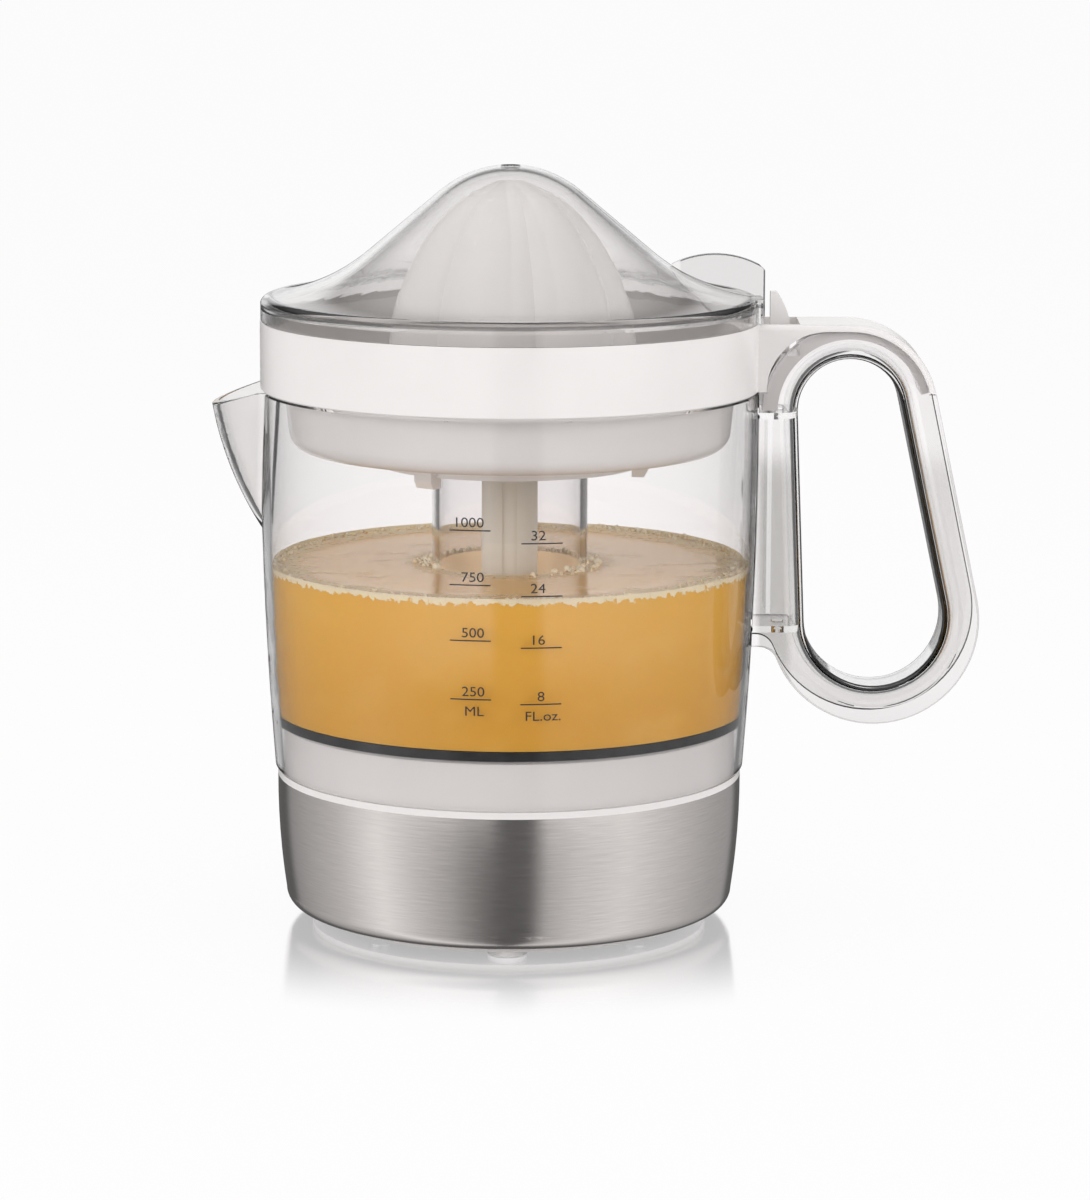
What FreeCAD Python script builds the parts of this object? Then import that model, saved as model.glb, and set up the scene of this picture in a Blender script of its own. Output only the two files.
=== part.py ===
import FreeCAD, Part
import math
import os

# Citrus press juicer in millimetres: Z up from the table, +X towards the handle, spout at -X.

# Heights of the stack, each measured from the piece below it
FOOT_STANDOFF = 1.8
PLATE_THICKNESS = 1.9
SLEEVE_HEIGHT = 41.6
RIM_HEIGHT = 2.05
HUB_HEIGHT = 15.75
FLOOR_THICKNESS = 2.8
JUG_DEPTH = 100.5
RING_HEIGHT = 21.3
LID_RIM_HEIGHT = 5.5
LID_CROWN_HEIGHT = 42.2

# Base shell
SLEEVE_INSET = 0.7
SLEEVE_BULGE = 0.5
SLEEVE_TAPER = 2.5
SLEEVE_CORNER = 5.0
SLEEVE_LIP = 9.3
STEEL = 0.6
PLATE_LAP = 1.2
HOUSING_WALL = 2.4
HOUSING_INSET = 1.4
HUB_EDGE = 1.2
COLLAR_HEIGHT = 6.9
COLLAR_WALL = 4.5
FOOT_RADIUS = 6.0
FOOT_INSET = 7.0
FOOT_STEM = 2.5
FOOT_COUNT = 4
VENT_COUNT = 12
VENT_WIDTH = 3.0
VENT_INNER = 24.0
VENT_MARGIN = 5.0
POST_COUNT = 4
POST_INSET = 10.2
POST_RADIUS = 4.0
POST_RIB = 3.0
SCREW_RADIUS = 1.5
SCREW_HEAD = 3.0
SCREW_HEAD_HEIGHT = 1.1
SCREW_GRIP = 9.0
GLAND_HEIGHT = 14.0
GLAND_RADIUS = 4.9
GLAND_BORE = 2.8
GLAND_FLANGE = 6.8
GLAND_LIP = 1.7

# Jug
JUG_RIM_RADIUS = 77.4
JUG_BELLY_DRAW = 1.0
JUG_BELLY_HEIGHT = 52.2
JUG_TAPER = 4.1
JUG_WALL = 2.2
JUG_EDGE = 0.6
JUG_GAP = 0.45
SEAL_WIDTH = 2.0
CHIMNEY_RADIUS = 24.3
CHIMNEY_WALL = 2.2
CHIMNEY_GAP = 1.6
SPOUT_REACH = 15.8
SPOUT_DROP = 5.0
SPOUT_DEPTH = 46.0
SPOUT_INSET = 3.4
SPOUT_WAIST = 13.1
SPOUT_WAIST_DROP = 24.7
SPOUT_KEEL = 2.2
SPOUT_EDGE = 0.7

# Handle loop: two circles joined by tangents, open channel outwards
GRIP_REACH = 27.6
GRIP_TOP_RADIUS = 16.0
GRIP_LEAN = 8.3
GRIP_SPAN = 65.1
GRIP_LOW_RADIUS = 21.6
GRIP_BAND = 11.0
GRIP_DEPTH = 26.0
GRIP_SIDE = 2.4
GRIP_INNER = 2.5
GRIP_EDGE = 6.0
GRIP_RIM = 0.8
GRIP_WEB = 2.0
GRIP_WEB_DROP = 2.0
GRIP_FOOT_DROP = 6.4
GRIP_FOOT_BEND = 6.0
GRIP_RIB = 1.4
GRIP_RIB_GAP = 2.2
GRIP_RIB_END = 4.0
DRAIN_RADIUS = 2.0

# Tray
RING_WALL = 2.5
RING_EDGE = 0.5
TRAY_WALL = 2.3
TRAY_DEPTH = 18.4
TRAY_INSET = 7.5
TRAY_TAPER = 1.3
TRAY_CORNER = 6.0
TRAY_RIB_COUNT = 12
TRAY_RIB = 1.2
TRAY_RIB_DROP = 2.2
TRAY_COLLAR_WALL = 3.0
TRAY_COLLAR_RISE = 10.0
TRAY_COLLAR_DROP = 6.0
ARM_CAP = 2.0
ARM_STEP = 0.2
ARM_FOOT = 1.5
ARM_END_ANGLE = 14.0
ARM_EDGE = 1.6
DRAIN_COUNT = 12
DRAIN_EDGE = 1.0
DRAIN_LENGTH = 8.0
DRAIN_SPAN = 13.0

# Pulp control
PULP_SWING = 5.0
SIEVE_THICKNESS = 1.5
SIEVE_SLOT_COUNT = 36
SIEVE_SLOT = 1.4
SIEVE_BORDER = 3.0
SIEVE_GAP = 1.6
PULP_RING_GAP = 1.7
PULP_RING_HEIGHT = 4.6
HOOK_COUNT = 3
HOOK_ANGLE = -7.0
HOOK_WIDTH = 6.5
HOOK_REACH = 2.4
HOOK_DROP = 3.4
HOOK_DEPTH = 5.0
LINK_MARGIN = 3.0
LINK_RADIUS = 1.6
LEVER_WIDTH = 5.0
LEVER_THICKNESS = 3.0
LEVER_DROP = 6.6
LEVER_LEG = 3.0
FIN_HEIGHT = 9.0
FIN_GAP = 3.0
FIN_FOOT = 6.0
FIN_TOP = 1.9
FIN_WIDTH = 4.0
POCKET_REACH = 2.8

# Lid
LID_INSET = 0.2
LID_WALL = 2.0
LID_CROWN_RADIUS = 33.5
LID_FLANK_ANGLE = 40.0
LID_BRIM_ANGLE = 9.0
LID_BRIM_RISE = 1.8
LID_BRIM = 3.2
LID_SKIRT = 1.6
LID_SKIRT_DROP = 2.7
LID_GATE_RADIUS = 3.0
LID_GATE_DEPTH = 0.8
LID_FIN_PROUD = 1.5
LID_FIN_LENGTH = 28.7
LID_FIN_PEAK = 12.3
LID_FIN_PEAK_RISE = 20.6
LID_FIN_INNER_RISE = 17.4
LID_FIN_OUTER_RISE = 15.4
LID_FIN_FOOT_RISE = 6.4
LID_FIN = 2.0
LID_TAB = 24.0

# Reamer and press
REAMER_BASE_RADIUS = 40.0
REAMER_HEIGHT = 64.0
REAMER_TIP_GAP = 3.0
REAMER_LOBES = 7
REAMER_TURN = -77.0
REAMER_VALLEY = 0.915
REAMER_WALL = 3.2
REAMER_TIP_RADIUS = 4.0
REAMER_HUB_WALL = 3.5
REAMER_SOCKET = 26.0
PRESS_TRAVEL = 2.5
ROD_FLATS = 7.0
SHAFT_RADIUS = 8.95
SHAFT_GROOVE = 4.6
SHAFT_GROOVE_DEPTH = 0.8
SHAFT_GROOVE_COUNT = 4
SHAFT_RISE = 6.0
SHAFT_LIFT = 3.0
SPINDLE_RADIUS = 6.0
DOG_FLATS = 9.5
DOG_HEIGHT = 14.0
DOG_SOCKET = 11.0
PIN_RADIUS = 2.5
PIN_PROUD = 3.0
PIN_COLLAR = 7.4
PIN_COLLAR_HEIGHT = 2.0
SPRING_RADIUS = 5.0
SPRING_WIRE = 0.45
SPRING_TURNS = 6

# Gear train
GEAR_ROOM = 8.45
OUTPUT_TEETH = 56
SMALL_TEETH = 14
LARGE_TEETH = 48
PINION_TEETH = 12
PRESSURE_ANGLE = 20.0
ADDENDUM_RATIO = 0.8
DEDENDUM_RATIO = 1.2
GEAR_BACKLASH = 0.3
GEAR_SPREAD = 0.1
OUTPUT_FACE = 7.5
LARGE_FACE = 6.0
GEAR_STEP = 1.0
DECK_HEADROOM = 2.2
GEAR_PLATE = 2.5
GEAR_PLATE_GAP = 1.5
BUSH_WALL = 2.0
BUSH_FLANGE = 1.0
BUSH_LENGTH = 8.0
SEAL_HEIGHT = 2.0
AXLE_RADIUS = 2.0
BOSS_INSET = 6.0
BOSS_RADIUS = 4.0
BOSS_ANGLES = (-60.0, 50.0, 235.0)

# Motor and switch
MOTOR_GAP = 9.0
MOTOR_WALL_GAP = 9.7
MOTOR_ANGLE = 180.0
ROTOR_RADIUS = 10.0
ROTOR_SHAFT = 2.5
AIR_GAP = 0.6
POLE_WALL = 1.8
STATOR_YOKE = 5.0
STATOR_EDGE = 3.0
COIL_HEAD = 5.0
COIL_THICKNESS = 4.2
COIL_LIMB = 5.5
COIL_ROOM = 2.5
BOLT_RADIUS = 1.6
BOLT_WALL = 1.8
SPACER_WALL = 1.2
BRIDGE_WIDTH = 12.0
BRIDGE_THICKNESS = 2.5
BRIDGE_BOSS = 6.0
BRIDGE_GAP = 0.625
BRIDGE_ROOM = 3.175
SWITCH_LENGTH = 20.0
SWITCH_WIDTH = 6.4
SWITCH_HEIGHT = 10.5
BUTTON_RADIUS = 1.8
BUTTON_PROUD = 3.0
BUTTON_ROOT = 2.0
BRACKET_ROOM = 2.25
BRACKET_WIDTH = 14.0
BRACKET = 1.5
BRACKET_FLANGE = 6.0
SPRING_SEAT_DROP = 12.5
SWITCH_ROOM = 4.8
BLOCK_REACH = 27.0
BLOCK_SIDE = 12.0
BLOCK_LENGTH = 24.0
BLOCK_WIDTH = 12.0
BLOCK_HEIGHT = 12.0
BLOCK_POLES = 3
BLOCK_BORE = 2.2
LEAD_RADIUS = 1.0
LEAD_BEND = 4.0
LEAD_DROP = 5.0
LEAD_GAP = 4.0
LEAD_SIDE = 5.0
LEAD_SWITCH_RISE = 5.5

# Clearances
RUNNING = 0.05
SLIDING = 0.15
SEATING = 0.35
LOOSE = 0.4

V = FreeCAD.Vector
UP = V(0, 0, 1)
ORIGIN = V(0, 0, 0)

# Levels that follow from the stack
plate_top = FOOT_STANDOFF + PLATE_THICKNESS
sleeve_top = plate_top + SLEEVE_HEIGHT
base_rim = sleeve_top + RIM_HEIGHT
hub_top = base_rim + HUB_HEIGHT
jug_floor = hub_top + FLOOR_THICKNESS
jug_rim = jug_floor + JUG_DEPTH
ring_top = jug_rim + RING_HEIGHT
lid_rim = ring_top + LID_RIM_HEIGHT
lid_top = lid_rim + LID_CROWN_HEIGHT
jug_foot = base_rim + JUG_GAP
tray_floor = jug_rim - TRAY_DEPTH
tray_deck = tray_floor + TRAY_WALL
chimney_top = tray_floor - CHIMNEY_GAP
grip_top_z = ring_top - ARM_STEP - GRIP_BAND - GRIP_TOP_RADIUS
grip_low_z = grip_top_z - GRIP_SPAN
grip_web_z = grip_low_z - GRIP_WEB_DROP
grip_foot_z = grip_web_z - GRIP_FOOT_DROP

# Levels inside the base, from the deck down
deck_under = hub_top - HOUSING_WALL
large_top = deck_under - DECK_HEADROOM
large_low = large_top - LARGE_FACE
output_top = large_low - GEAR_STEP
output_low = output_top - OUTPUT_FACE
plate_deck = output_low - BUSH_FLANGE
plate_under = plate_deck - GEAR_PLATE
collar_top = hub_top + COLLAR_HEIGHT
stack_top = plate_under - COIL_ROOM - COIL_HEAD
bridge_low = plate_top + BRIDGE_ROOM
bridge_top = bridge_low + BRIDGE_THICKNESS
stack_low = bridge_top + BRIDGE_GAP + COIL_HEAD
spring_seat = plate_under - SPRING_SEAT_DROP
switch_low = plate_top + SWITCH_ROOM
switch_top = switch_low + SWITCH_HEIGHT
pin_foot = switch_top + BUTTON_PROUD
dog_low = collar_top - SHAFT_LIFT
dog_top = dog_low + DOG_HEIGHT + SHAFT_LIFT
pin_top = dog_top + PIN_PROUD
shaft_top = tray_deck + TRAY_COLLAR_RISE + SHAFT_RISE

# Radii that follow from the jug's rim, outside in
jug_belly_radius = JUG_RIM_RADIUS - JUG_BELLY_DRAW
jug_foot_radius = JUG_RIM_RADIUS - JUG_TAPER
lid_radius = JUG_RIM_RADIUS - LID_INSET
ring_bore = JUG_RIM_RADIUS - RING_WALL
tray_top_radius = JUG_RIM_RADIUS - TRAY_INSET
tray_low_radius = tray_top_radius - TRAY_TAPER
sieve_radius = tray_low_radius - TRAY_CORNER - SIEVE_GAP
fin_inner_x = JUG_RIM_RADIUS + FIN_GAP
fin_outer_x = fin_inner_x + FIN_FOOT
grip_top_x = JUG_RIM_RADIUS + GRIP_REACH
grip_low_x = grip_top_x + GRIP_LEAN
grip_half = GRIP_DEPTH / 2
channel_half = grip_half - GRIP_SIDE
channel_bend = GRIP_EDGE - GRIP_SIDE
arm_radius = GRIP_TOP_RADIUS + GRIP_BAND - ARM_CAP
sleeve_top_radius = jug_foot_radius - SLEEVE_INSET
sleeve_bulge_radius = sleeve_top_radius - SLEEVE_BULGE
sleeve_foot_radius = sleeve_top_radius - SLEEVE_TAPER
sleeve_lip_radius = sleeve_foot_radius - SLEEVE_LIP
plate_radius = sleeve_lip_radius + PLATE_LAP
foot_circle = plate_radius - FOOT_INSET
vent_outer = foot_circle - FOOT_RADIUS - VENT_MARGIN
hub_radius = jug_foot_radius - JUG_WALL - SEATING
hub_bore = hub_radius - HOUSING_WALL
housing_radius = sleeve_foot_radius - STEEL - HOUSING_INSET
housing_bore = housing_radius - HOUSING_WALL
post_circle = housing_bore - POST_INSET
gear_plate_radius = post_circle - POST_RADIUS - GEAR_PLATE_GAP
boss_circle = gear_plate_radius - BOSS_INSET

# Radii that follow from the drive and the chimney, inside out
spindle_bore = SPINDLE_RADIUS + RUNNING
bush_radius = SPINDLE_RADIUS + BUSH_WALL
collar_radius = SHAFT_RADIUS + RUNNING + TRAY_COLLAR_WALL
pulp_ring_inner = CHIMNEY_RADIUS + PULP_RING_GAP
drain_inner = pulp_ring_inner + DRAIN_EDGE
drain_outer = drain_inner + DRAIN_LENGTH
link_circle = drain_outer + LINK_MARGIN
pulp_ring_outer = link_circle + LINK_MARGIN

# The motor fills the room between the switch bracket and the housing wall
stator_length = housing_bore - MOTOR_WALL_GAP - BRACKET_WIDTH / 2 - MOTOR_GAP
motor_offset = BRACKET_WIDTH / 2 + MOTOR_GAP + stator_length / 2
coil_place = ROTOR_RADIUS + AIR_GAP + POLE_WALL + COIL_THICKNESS / 2
coil_outer = stator_length - 2 * STATOR_YOKE
bolt_place = coil_place + COIL_THICKNESS / 2 + BOLT_WALL + BOLT_RADIUS
stator_half = bolt_place + STATOR_EDGE
lead_side = stator_half + LEAD_SIDE

# The gear train fills the hub: the motor beside the spindle, the double gear in mesh with both
train_teeth = (OUTPUT_TEETH + SMALL_TEETH + LARGE_TEETH) / 2 + ADDENDUM_RATIO
gear_module = (hub_bore - GEAR_ROOM - GEAR_SPREAD) / train_teeth
reach_output = gear_module * (OUTPUT_TEETH + SMALL_TEETH) / 2 + GEAR_SPREAD
reach_pinion = gear_module * (LARGE_TEETH + PINION_TEETH) / 2 + GEAR_SPREAD
corner_cosine = reach_output ** 2 + motor_offset ** 2 - reach_pinion ** 2
corner_cosine /= 2 * reach_output * motor_offset
double_angle = MOTOR_ANGLE - math.degrees(math.acos(corner_cosine))


def polar(radius, degrees, height=0.0):
    """Point at a radius and an angle about the vertical axis."""
    turn = math.radians(degrees)
    return V(radius * math.cos(turn), radius * math.sin(turn), height)


motor_centre = polar(motor_offset, MOTOR_ANGLE)
double_centre = polar(reach_output, double_angle)
to_motor = motor_centre.sub(double_centre)
pinion_angle = math.degrees(math.atan2(to_motor.y, to_motor.x))


def edges_through(start, steps):
    """Edges in the XZ plane: a step is an (x, z) end, or a (middle, end) pair for an arc."""
    edges = []
    here = V(start[0], 0, start[1])
    for step in steps:
        if isinstance(step[0], tuple):
            middle = V(step[0][0], 0, step[0][1])
            end = V(step[1][0], 0, step[1][1])
            edges.append(Part.Arc(here, middle, end).toShape())
        else:
            end = V(step[0], 0, step[1])
            edges.append(Part.makeLine(here, end))
        here = end
    return edges


def outline(start, *steps):
    """Closed face in the XZ plane."""
    return Part.Face(Part.Wire(edges_through(start, list(steps) + [start])))


def turned(start, *steps):
    """Solid of revolution about the vertical axis."""
    return outline(start, *steps).revolve(ORIGIN, UP, 360)


def slab(face, depth):
    """Plate of an XZ face, centred on the plane Y = 0."""
    return face.translated(V(0, -depth / 2, 0)).extrude(V(0, depth, 0))


def rod(radius, low, high, place=ORIGIN):
    return Part.makeCylinder(radius, high - low, V(place.x, place.y, low))


def tube(outer, inner, low, high, place=ORIGIN):
    return rod(outer, low, high, place).cut(rod(inner, low, high, place))


def block(x0, x1, y0, y1, z0, z1):
    return Part.makeBox(x1 - x0, y1 - y0, z1 - z0, V(x0, y0, z0))


def prism(flats, sides, low, high):
    """Upright regular prism measured across its flats."""
    radius = flats / 2 / math.cos(math.pi / sides)
    corners = [polar(radius, 360 * (i + 0.5) / sides, low) for i in range(sides)]
    return Part.Face(Part.makePolygon(corners + corners[:1])).extrude(V(0, 0, high - low))


def spun(shape, degrees):
    return shape.rotated(ORIGIN, UP, degrees)


def ring_of(shape, count, first=0.0):
    """Copies of a shape at equal angles about the vertical axis."""
    return [spun(shape, first + 360 * i / count) for i in range(count)]


def sector(inner, outer, span, low, high):
    """Annular sector centred on +X."""
    half = math.radians(span / 2)
    corners = [(r * math.cos(a), r * math.sin(a)) for r in (inner, outer) for a in (-half, half)]
    (ax, ay), (bx, by), (cx, cy), (dx, dy) = corners
    edges = [
        Part.Arc(V(ax, ay, low), V(inner, 0, low), V(bx, by, low)).toShape(),
        Part.makeLine(V(bx, by, low), V(dx, dy, low)),
        Part.Arc(V(dx, dy, low), V(outer, 0, low), V(cx, cy, low)).toShape(),
        Part.makeLine(V(cx, cy, low), V(ax, ay, low)),
    ]
    return Part.Face(Part.Wire(edges)).extrude(V(0, 0, high - low))


def joined(first, *others):
    return first.multiFuse(list(others)).removeSplitter()


def without(first, *others):
    return first.cut(list(others))


def save(node, shape):
    os.makedirs("parts", exist_ok=True)
    shape.exportStep("parts/" + node + ".step")


# Base shell

def sleeve_outline(inset):
    """Open sleeve section from the table side up, at a depth inside the outer skin."""
    radius = SLEEVE_CORNER - inset
    centre_r = sleeve_foot_radius - SLEEVE_CORNER
    centre_z = plate_top + SLEEVE_CORNER
    slant = radius * math.sqrt(0.5)
    return [
        (sleeve_lip_radius, plate_top + inset),
        (centre_r, plate_top + inset),
        ((centre_r + slant, centre_z - slant), (centre_r + radius, centre_z)),
        ((sleeve_bulge_radius - inset, plate_top + SLEEVE_HEIGHT * 0.57),
         (sleeve_top_radius - inset, sleeve_top)),
    ]


def sleeve_core(inset):
    first, *rest = sleeve_outline(inset)
    return turned(first, *rest, (0, sleeve_top), (0, first[1]))


def gland_hole(radius):
    return Part.makeCylinder(radius, 2 * sleeve_top_radius, V(0, 0, GLAND_HEIGHT), V(0, 1, 0))


def steel_sleeve():
    bore = rod(sleeve_lip_radius, plate_top, sleeve_top)
    return without(sleeve_core(0), sleeve_core(STEEL), bore, gland_hole(GLAND_RADIUS + RUNNING))


def housing_post():
    post = rod(POST_RADIUS, plate_top, sleeve_top, V(post_circle, 0, 0))
    rib = block(post_circle, housing_bore + HOUSING_WALL / 2, -POST_RIB / 2, POST_RIB / 2,
                plate_top + SLEEVE_CORNER, sleeve_top)
    hole = rod(SCREW_RADIUS, plate_top, plate_top + SCREW_GRIP, V(post_circle, 0, 0))
    return joined(post, rib).cut(hole)


def base_housing():
    wall_low = plate_top + SLEEVE_CORNER / 2
    collar_outer = bush_radius + COLLAR_WALL
    shell = turned(
        (housing_radius, wall_low), (housing_radius, sleeve_top), (sleeve_top_radius, sleeve_top),
        (sleeve_top_radius, base_rim), (hub_radius, base_rim), (hub_radius, hub_top - HUB_EDGE),
        (hub_radius - HUB_EDGE, hub_top), (collar_outer, hub_top), (collar_outer, collar_top),
        (bush_radius, collar_top), (bush_radius, deck_under), (hub_bore, deck_under),
        (hub_bore, base_rim), (housing_bore, base_rim), (housing_bore, wall_low))
    posts = ring_of(housing_post(), POST_COUNT, 180 / POST_COUNT)
    boss = tube(BOSS_RADIUS, SCREW_RADIUS, plate_deck, deck_under + HOUSING_WALL / 2, V(boss_circle, 0, 0))
    bosses = [spun(boss, angle) for angle in BOSS_ANGLES]
    return joined(shell, *posts, *bosses).cut(gland_hole(GLAND_RADIUS + RUNNING))


def foot_places():
    return [polar(foot_circle, 360 * i / FOOT_COUNT - 90) for i in range(FOOT_COUNT)]


def bottom_plate():
    plate = rod(plate_radius, FOOT_STANDOFF, plate_top)
    vent = block(VENT_INNER, vent_outer, -VENT_WIDTH / 2, VENT_WIDTH / 2, FOOT_STANDOFF, plate_top)
    stems = [rod(FOOT_STEM, FOOT_STANDOFF, plate_top, place) for place in foot_places()]
    screw = rod(SCREW_RADIUS, FOOT_STANDOFF, plate_top, V(post_circle, 0, 0))
    vents = ring_of(vent, VENT_COUNT, 180 / VENT_COUNT)
    return without(plate, *vents, *stems, *ring_of(screw, POST_COUNT, 180 / POST_COUNT))


def rubber_feet():
    feet = []
    for place in foot_places():
        pad = rod(FOOT_RADIUS, 0, FOOT_STANDOFF, place)
        feet.append(joined(pad, rod(FOOT_STEM, FOOT_STANDOFF, plate_top, place)))
    return Part.makeCompound(feet)


def screw(head_low, head_high, tip, place):
    """Pan-head screw: the head lies between its two levels and the shank ends at the tip."""
    shank = rod(SCREW_RADIUS, head_high, tip, place)
    return joined(rod(SCREW_HEAD, head_low, head_high, place), shank)


def housing_screws():
    place = V(post_circle, 0, 0)
    one = screw(FOOT_STANDOFF - SCREW_HEAD_HEIGHT, FOOT_STANDOFF, plate_top + SCREW_GRIP, place)
    return Part.makeCompound(ring_of(one, POST_COUNT, 180 / POST_COUNT))


def cord_gland():
    inner_y = housing_bore - GLAND_LIP * 2
    outer_y = sleeve_bulge_radius + GLAND_LIP

    def sleeve(radius, start, end):
        return Part.makeCylinder(radius, end - start, V(0, start, GLAND_HEIGHT), V(0, 1, 0))

    stem = sleeve(GLAND_RADIUS, inner_y, outer_y)
    head = sleeve(GLAND_FLANGE, housing_radius, outer_y).cut(sleeve_core(0))
    nut = sleeve(GLAND_FLANGE, inner_y, inner_y + GLAND_LIP)
    return joined(stem, head, nut).cut(gland_hole(GLAND_BORE))


# Jug

def jug_core(inset):
    """Filled body of the jug wall at a depth inside its outer skin."""
    foot = jug_foot_radius - inset
    belly = (jug_belly_radius - inset, jug_foot + JUG_BELLY_HEIGHT)
    rim = (JUG_RIM_RADIUS - inset, jug_rim)
    return turned((foot, jug_foot), (belly, rim), (0, jug_rim), (0, jug_foot))


def spout_core(inset):
    """Filled body of the spout, a bowl turned about its own upright axis inside the jug wall."""
    knots = [V(SPOUT_KEEL, 0, jug_rim - SPOUT_DEPTH), V(SPOUT_WAIST, 0, jug_rim - SPOUT_WAIST_DROP),
             V(SPOUT_REACH + SPOUT_INSET, 0, jug_rim)]
    centre = Part.Arc(*knots).toShape().Curve.Center
    moved = [knot + (centre - knot).normalize() * inset for knot in knots]
    low, middle, high = [(knot.x, knot.z) for knot in moved]
    top = high[1] + SPOUT_DROP
    bowl = turned((0, low[1]), low, (middle, high), (high[0], top), (0, top))
    return bowl.translated(V(SPOUT_INSET - JUG_RIM_RADIUS, 0, 0))


def spout_top():
    """What lies above the sloping mouth of the spout."""
    far = JUG_RIM_RADIUS + SPOUT_REACH * 2
    low = jug_rim - SPOUT_DROP * 2
    return slab(outline((-JUG_RIM_RADIUS, jug_rim), (-far, low), (-far, jug_rim + SPOUT_DROP),
                        (-JUG_RIM_RADIUS, jug_rim + SPOUT_DROP)), SPOUT_REACH * 4)


def grip_loop(grow):
    """Face of the handle's two circles and their tangents, grown by a band."""
    top_r = GRIP_TOP_RADIUS + grow
    low_r = GRIP_LOW_RADIUS + grow
    dx = grip_low_x - grip_top_x
    dz = grip_low_z - grip_top_z
    along = math.atan2(dz, dx)
    lean = math.acos((GRIP_TOP_RADIUS - GRIP_LOW_RADIUS) / math.hypot(dx, dz))

    def on(x, z, radius, angle):
        return (x + radius * math.cos(angle), z + radius * math.sin(angle))

    right, left = along + lean, along - lean
    top = (grip_top_x, grip_top_z, top_r)
    low = (grip_low_x, grip_low_z, low_r)
    return outline(on(*top, left), (on(*top, along + math.pi), on(*top, right)), on(*low, right),
                   (on(*low, along), on(*low, left)))


def grip_arc(radius, angle):
    """Point on a circle about the handle's upper centre."""
    turn = math.radians(angle)
    return (grip_top_x + radius * math.cos(turn), grip_top_z + radius * math.sin(turn))


def above_arm(inset, end_angle):
    """Region above the arm's underside at a depth inside it: round the handle's top, then bent down to the rim."""
    radius = arm_radius - inset
    foot = jug_rim + SEATING - inset
    bend = grip_top_z + radius - foot
    slant = bend * math.sqrt(0.5)
    side = JUG_RIM_RADIUS + ARM_FOOT + inset
    far = JUG_RIM_RADIUS - JUG_WALL
    high = grip_top_z + GRIP_TOP_RADIUS + 3 * GRIP_BAND
    right = grip_top_x + GRIP_TOP_RADIUS + 3 * GRIP_BAND
    start = grip_arc(radius, end_angle)
    return outline(start, (grip_arc(radius, 90 - end_angle), grip_arc(radius, 90)), (side + bend, foot + bend),
                   ((side + bend - slant, foot + slant), (side, foot)), (far, foot), (far, high), (right, high),
                   (right, start[1]))


def jug_handle():
    bridge = block(0, grip_low_x, -grip_half, grip_half, grip_foot_z, jug_rim)
    filled = joined(slab(grip_loop(GRIP_BAND), GRIP_DEPTH), bridge)
    foot = [edge for edge in filled.Edges if on_foot_corner(edge)]
    filled = filled.makeFillet(GRIP_FOOT_BEND, foot)
    ringed = filled.cut(slab(grip_loop(0), GRIP_DEPTH * 2))
    lip = [edge for edge in ringed.Edges if on_opening(edge, grip_half, 0)]
    ringed = ringed.makeFillet(GRIP_EDGE, lip)
    rim = [edge for edge in ringed.Edges if on_rim(edge)]
    ringed = ringed.makeFillet(GRIP_RIM, rim)
    reach = grip_low_x + GRIP_LOW_RADIUS + GRIP_BAND * 2
    channel = block(0, reach, -channel_half, channel_half, grip_low_z - reach, jug_rim + reach)
    channel = channel.cut(slab(grip_loop(GRIP_INNER), GRIP_DEPTH))
    corner = [edge for edge in channel.Edges if on_opening(edge, channel_half, GRIP_INNER)]
    channel = channel.makeFillet(channel_bend, corner)
    upper = grip_top_z - SEATING
    side = grip_top_x - GRIP_TOP_RADIUS
    rib_x = JUG_RIM_RADIUS + GRIP_RIB_GAP
    rib = block(rib_x, rib_x + GRIP_RIB, -channel_half, channel_half, grip_web_z + GRIP_RIB_END, upper)
    channel = channel.cut(rib)
    for level in (upper, grip_web_z):
        web = block(0, side, -channel_half, channel_half, level - GRIP_WEB, level)
        drain = rod(DRAIN_RADIUS, level - GRIP_WEB, level, V((side - GRIP_INNER + rib_x + GRIP_RIB) / 2, 0, 0))
        channel = channel.cut(web.cut(drain))
    return without(ringed, channel, slab(above_arm(SEATING, ARM_END_ANGLE - 1), GRIP_DEPTH * 2))


def on_foot_corner(edge):
    """True for the corner across the handle where the foot of its bridge meets the loop."""
    middle = edge.valueAt((edge.FirstParameter + edge.LastParameter) / 2)
    return abs(middle.y) < 1e-3 and abs(middle.z - grip_foot_z) < 1e-3 and middle.x > JUG_RIM_RADIUS


def on_rim(edge):
    """True for an edge that runs round the outside of the handle on one of its two faces."""
    middle = edge.valueAt((edge.FirstParameter + edge.LastParameter) / 2)
    outside = middle.x > JUG_RIM_RADIUS / 2 and middle.z < jug_rim - 1e-3
    around = grip_loop(GRIP_BAND / 2).isInside(V(middle.x, 0, middle.z), 1e-3, True)
    return abs(abs(middle.y) - grip_half) < 1e-3 and outside and not around


def on_opening(edge, half, grow):
    """True for an edge that runs round the finger opening, grown by a band, at either end of a depth."""
    middle = edge.valueAt((edge.FirstParameter + edge.LastParameter) / 2)
    if abs(abs(middle.y) - half) > 1e-3:
        return False
    loop = grip_loop(grow).Wires[0]
    return loop.distToShape(Part.Vertex(middle.x, 0, middle.z))[0] < 1e-3


def eased_ring(radius, level, way):
    """What eases an outer edge of the jug wall at a level: way is 1 at its foot and -1 at its rim."""
    far = radius + JUG_EDGE
    return turned((radius - JUG_EDGE, level), (far, level), (far, level + 2 * way * JUG_EDGE))


def on_mouth(edge):
    """True for the outer edge of the spout's mouth."""
    middle = edge.valueAt((edge.FirstParameter + edge.LastParameter) / 2)
    return middle.x < -JUG_RIM_RADIUS - SPOUT_REACH / 2 and middle.z > jug_rim - SPOUT_DROP * 2


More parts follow.
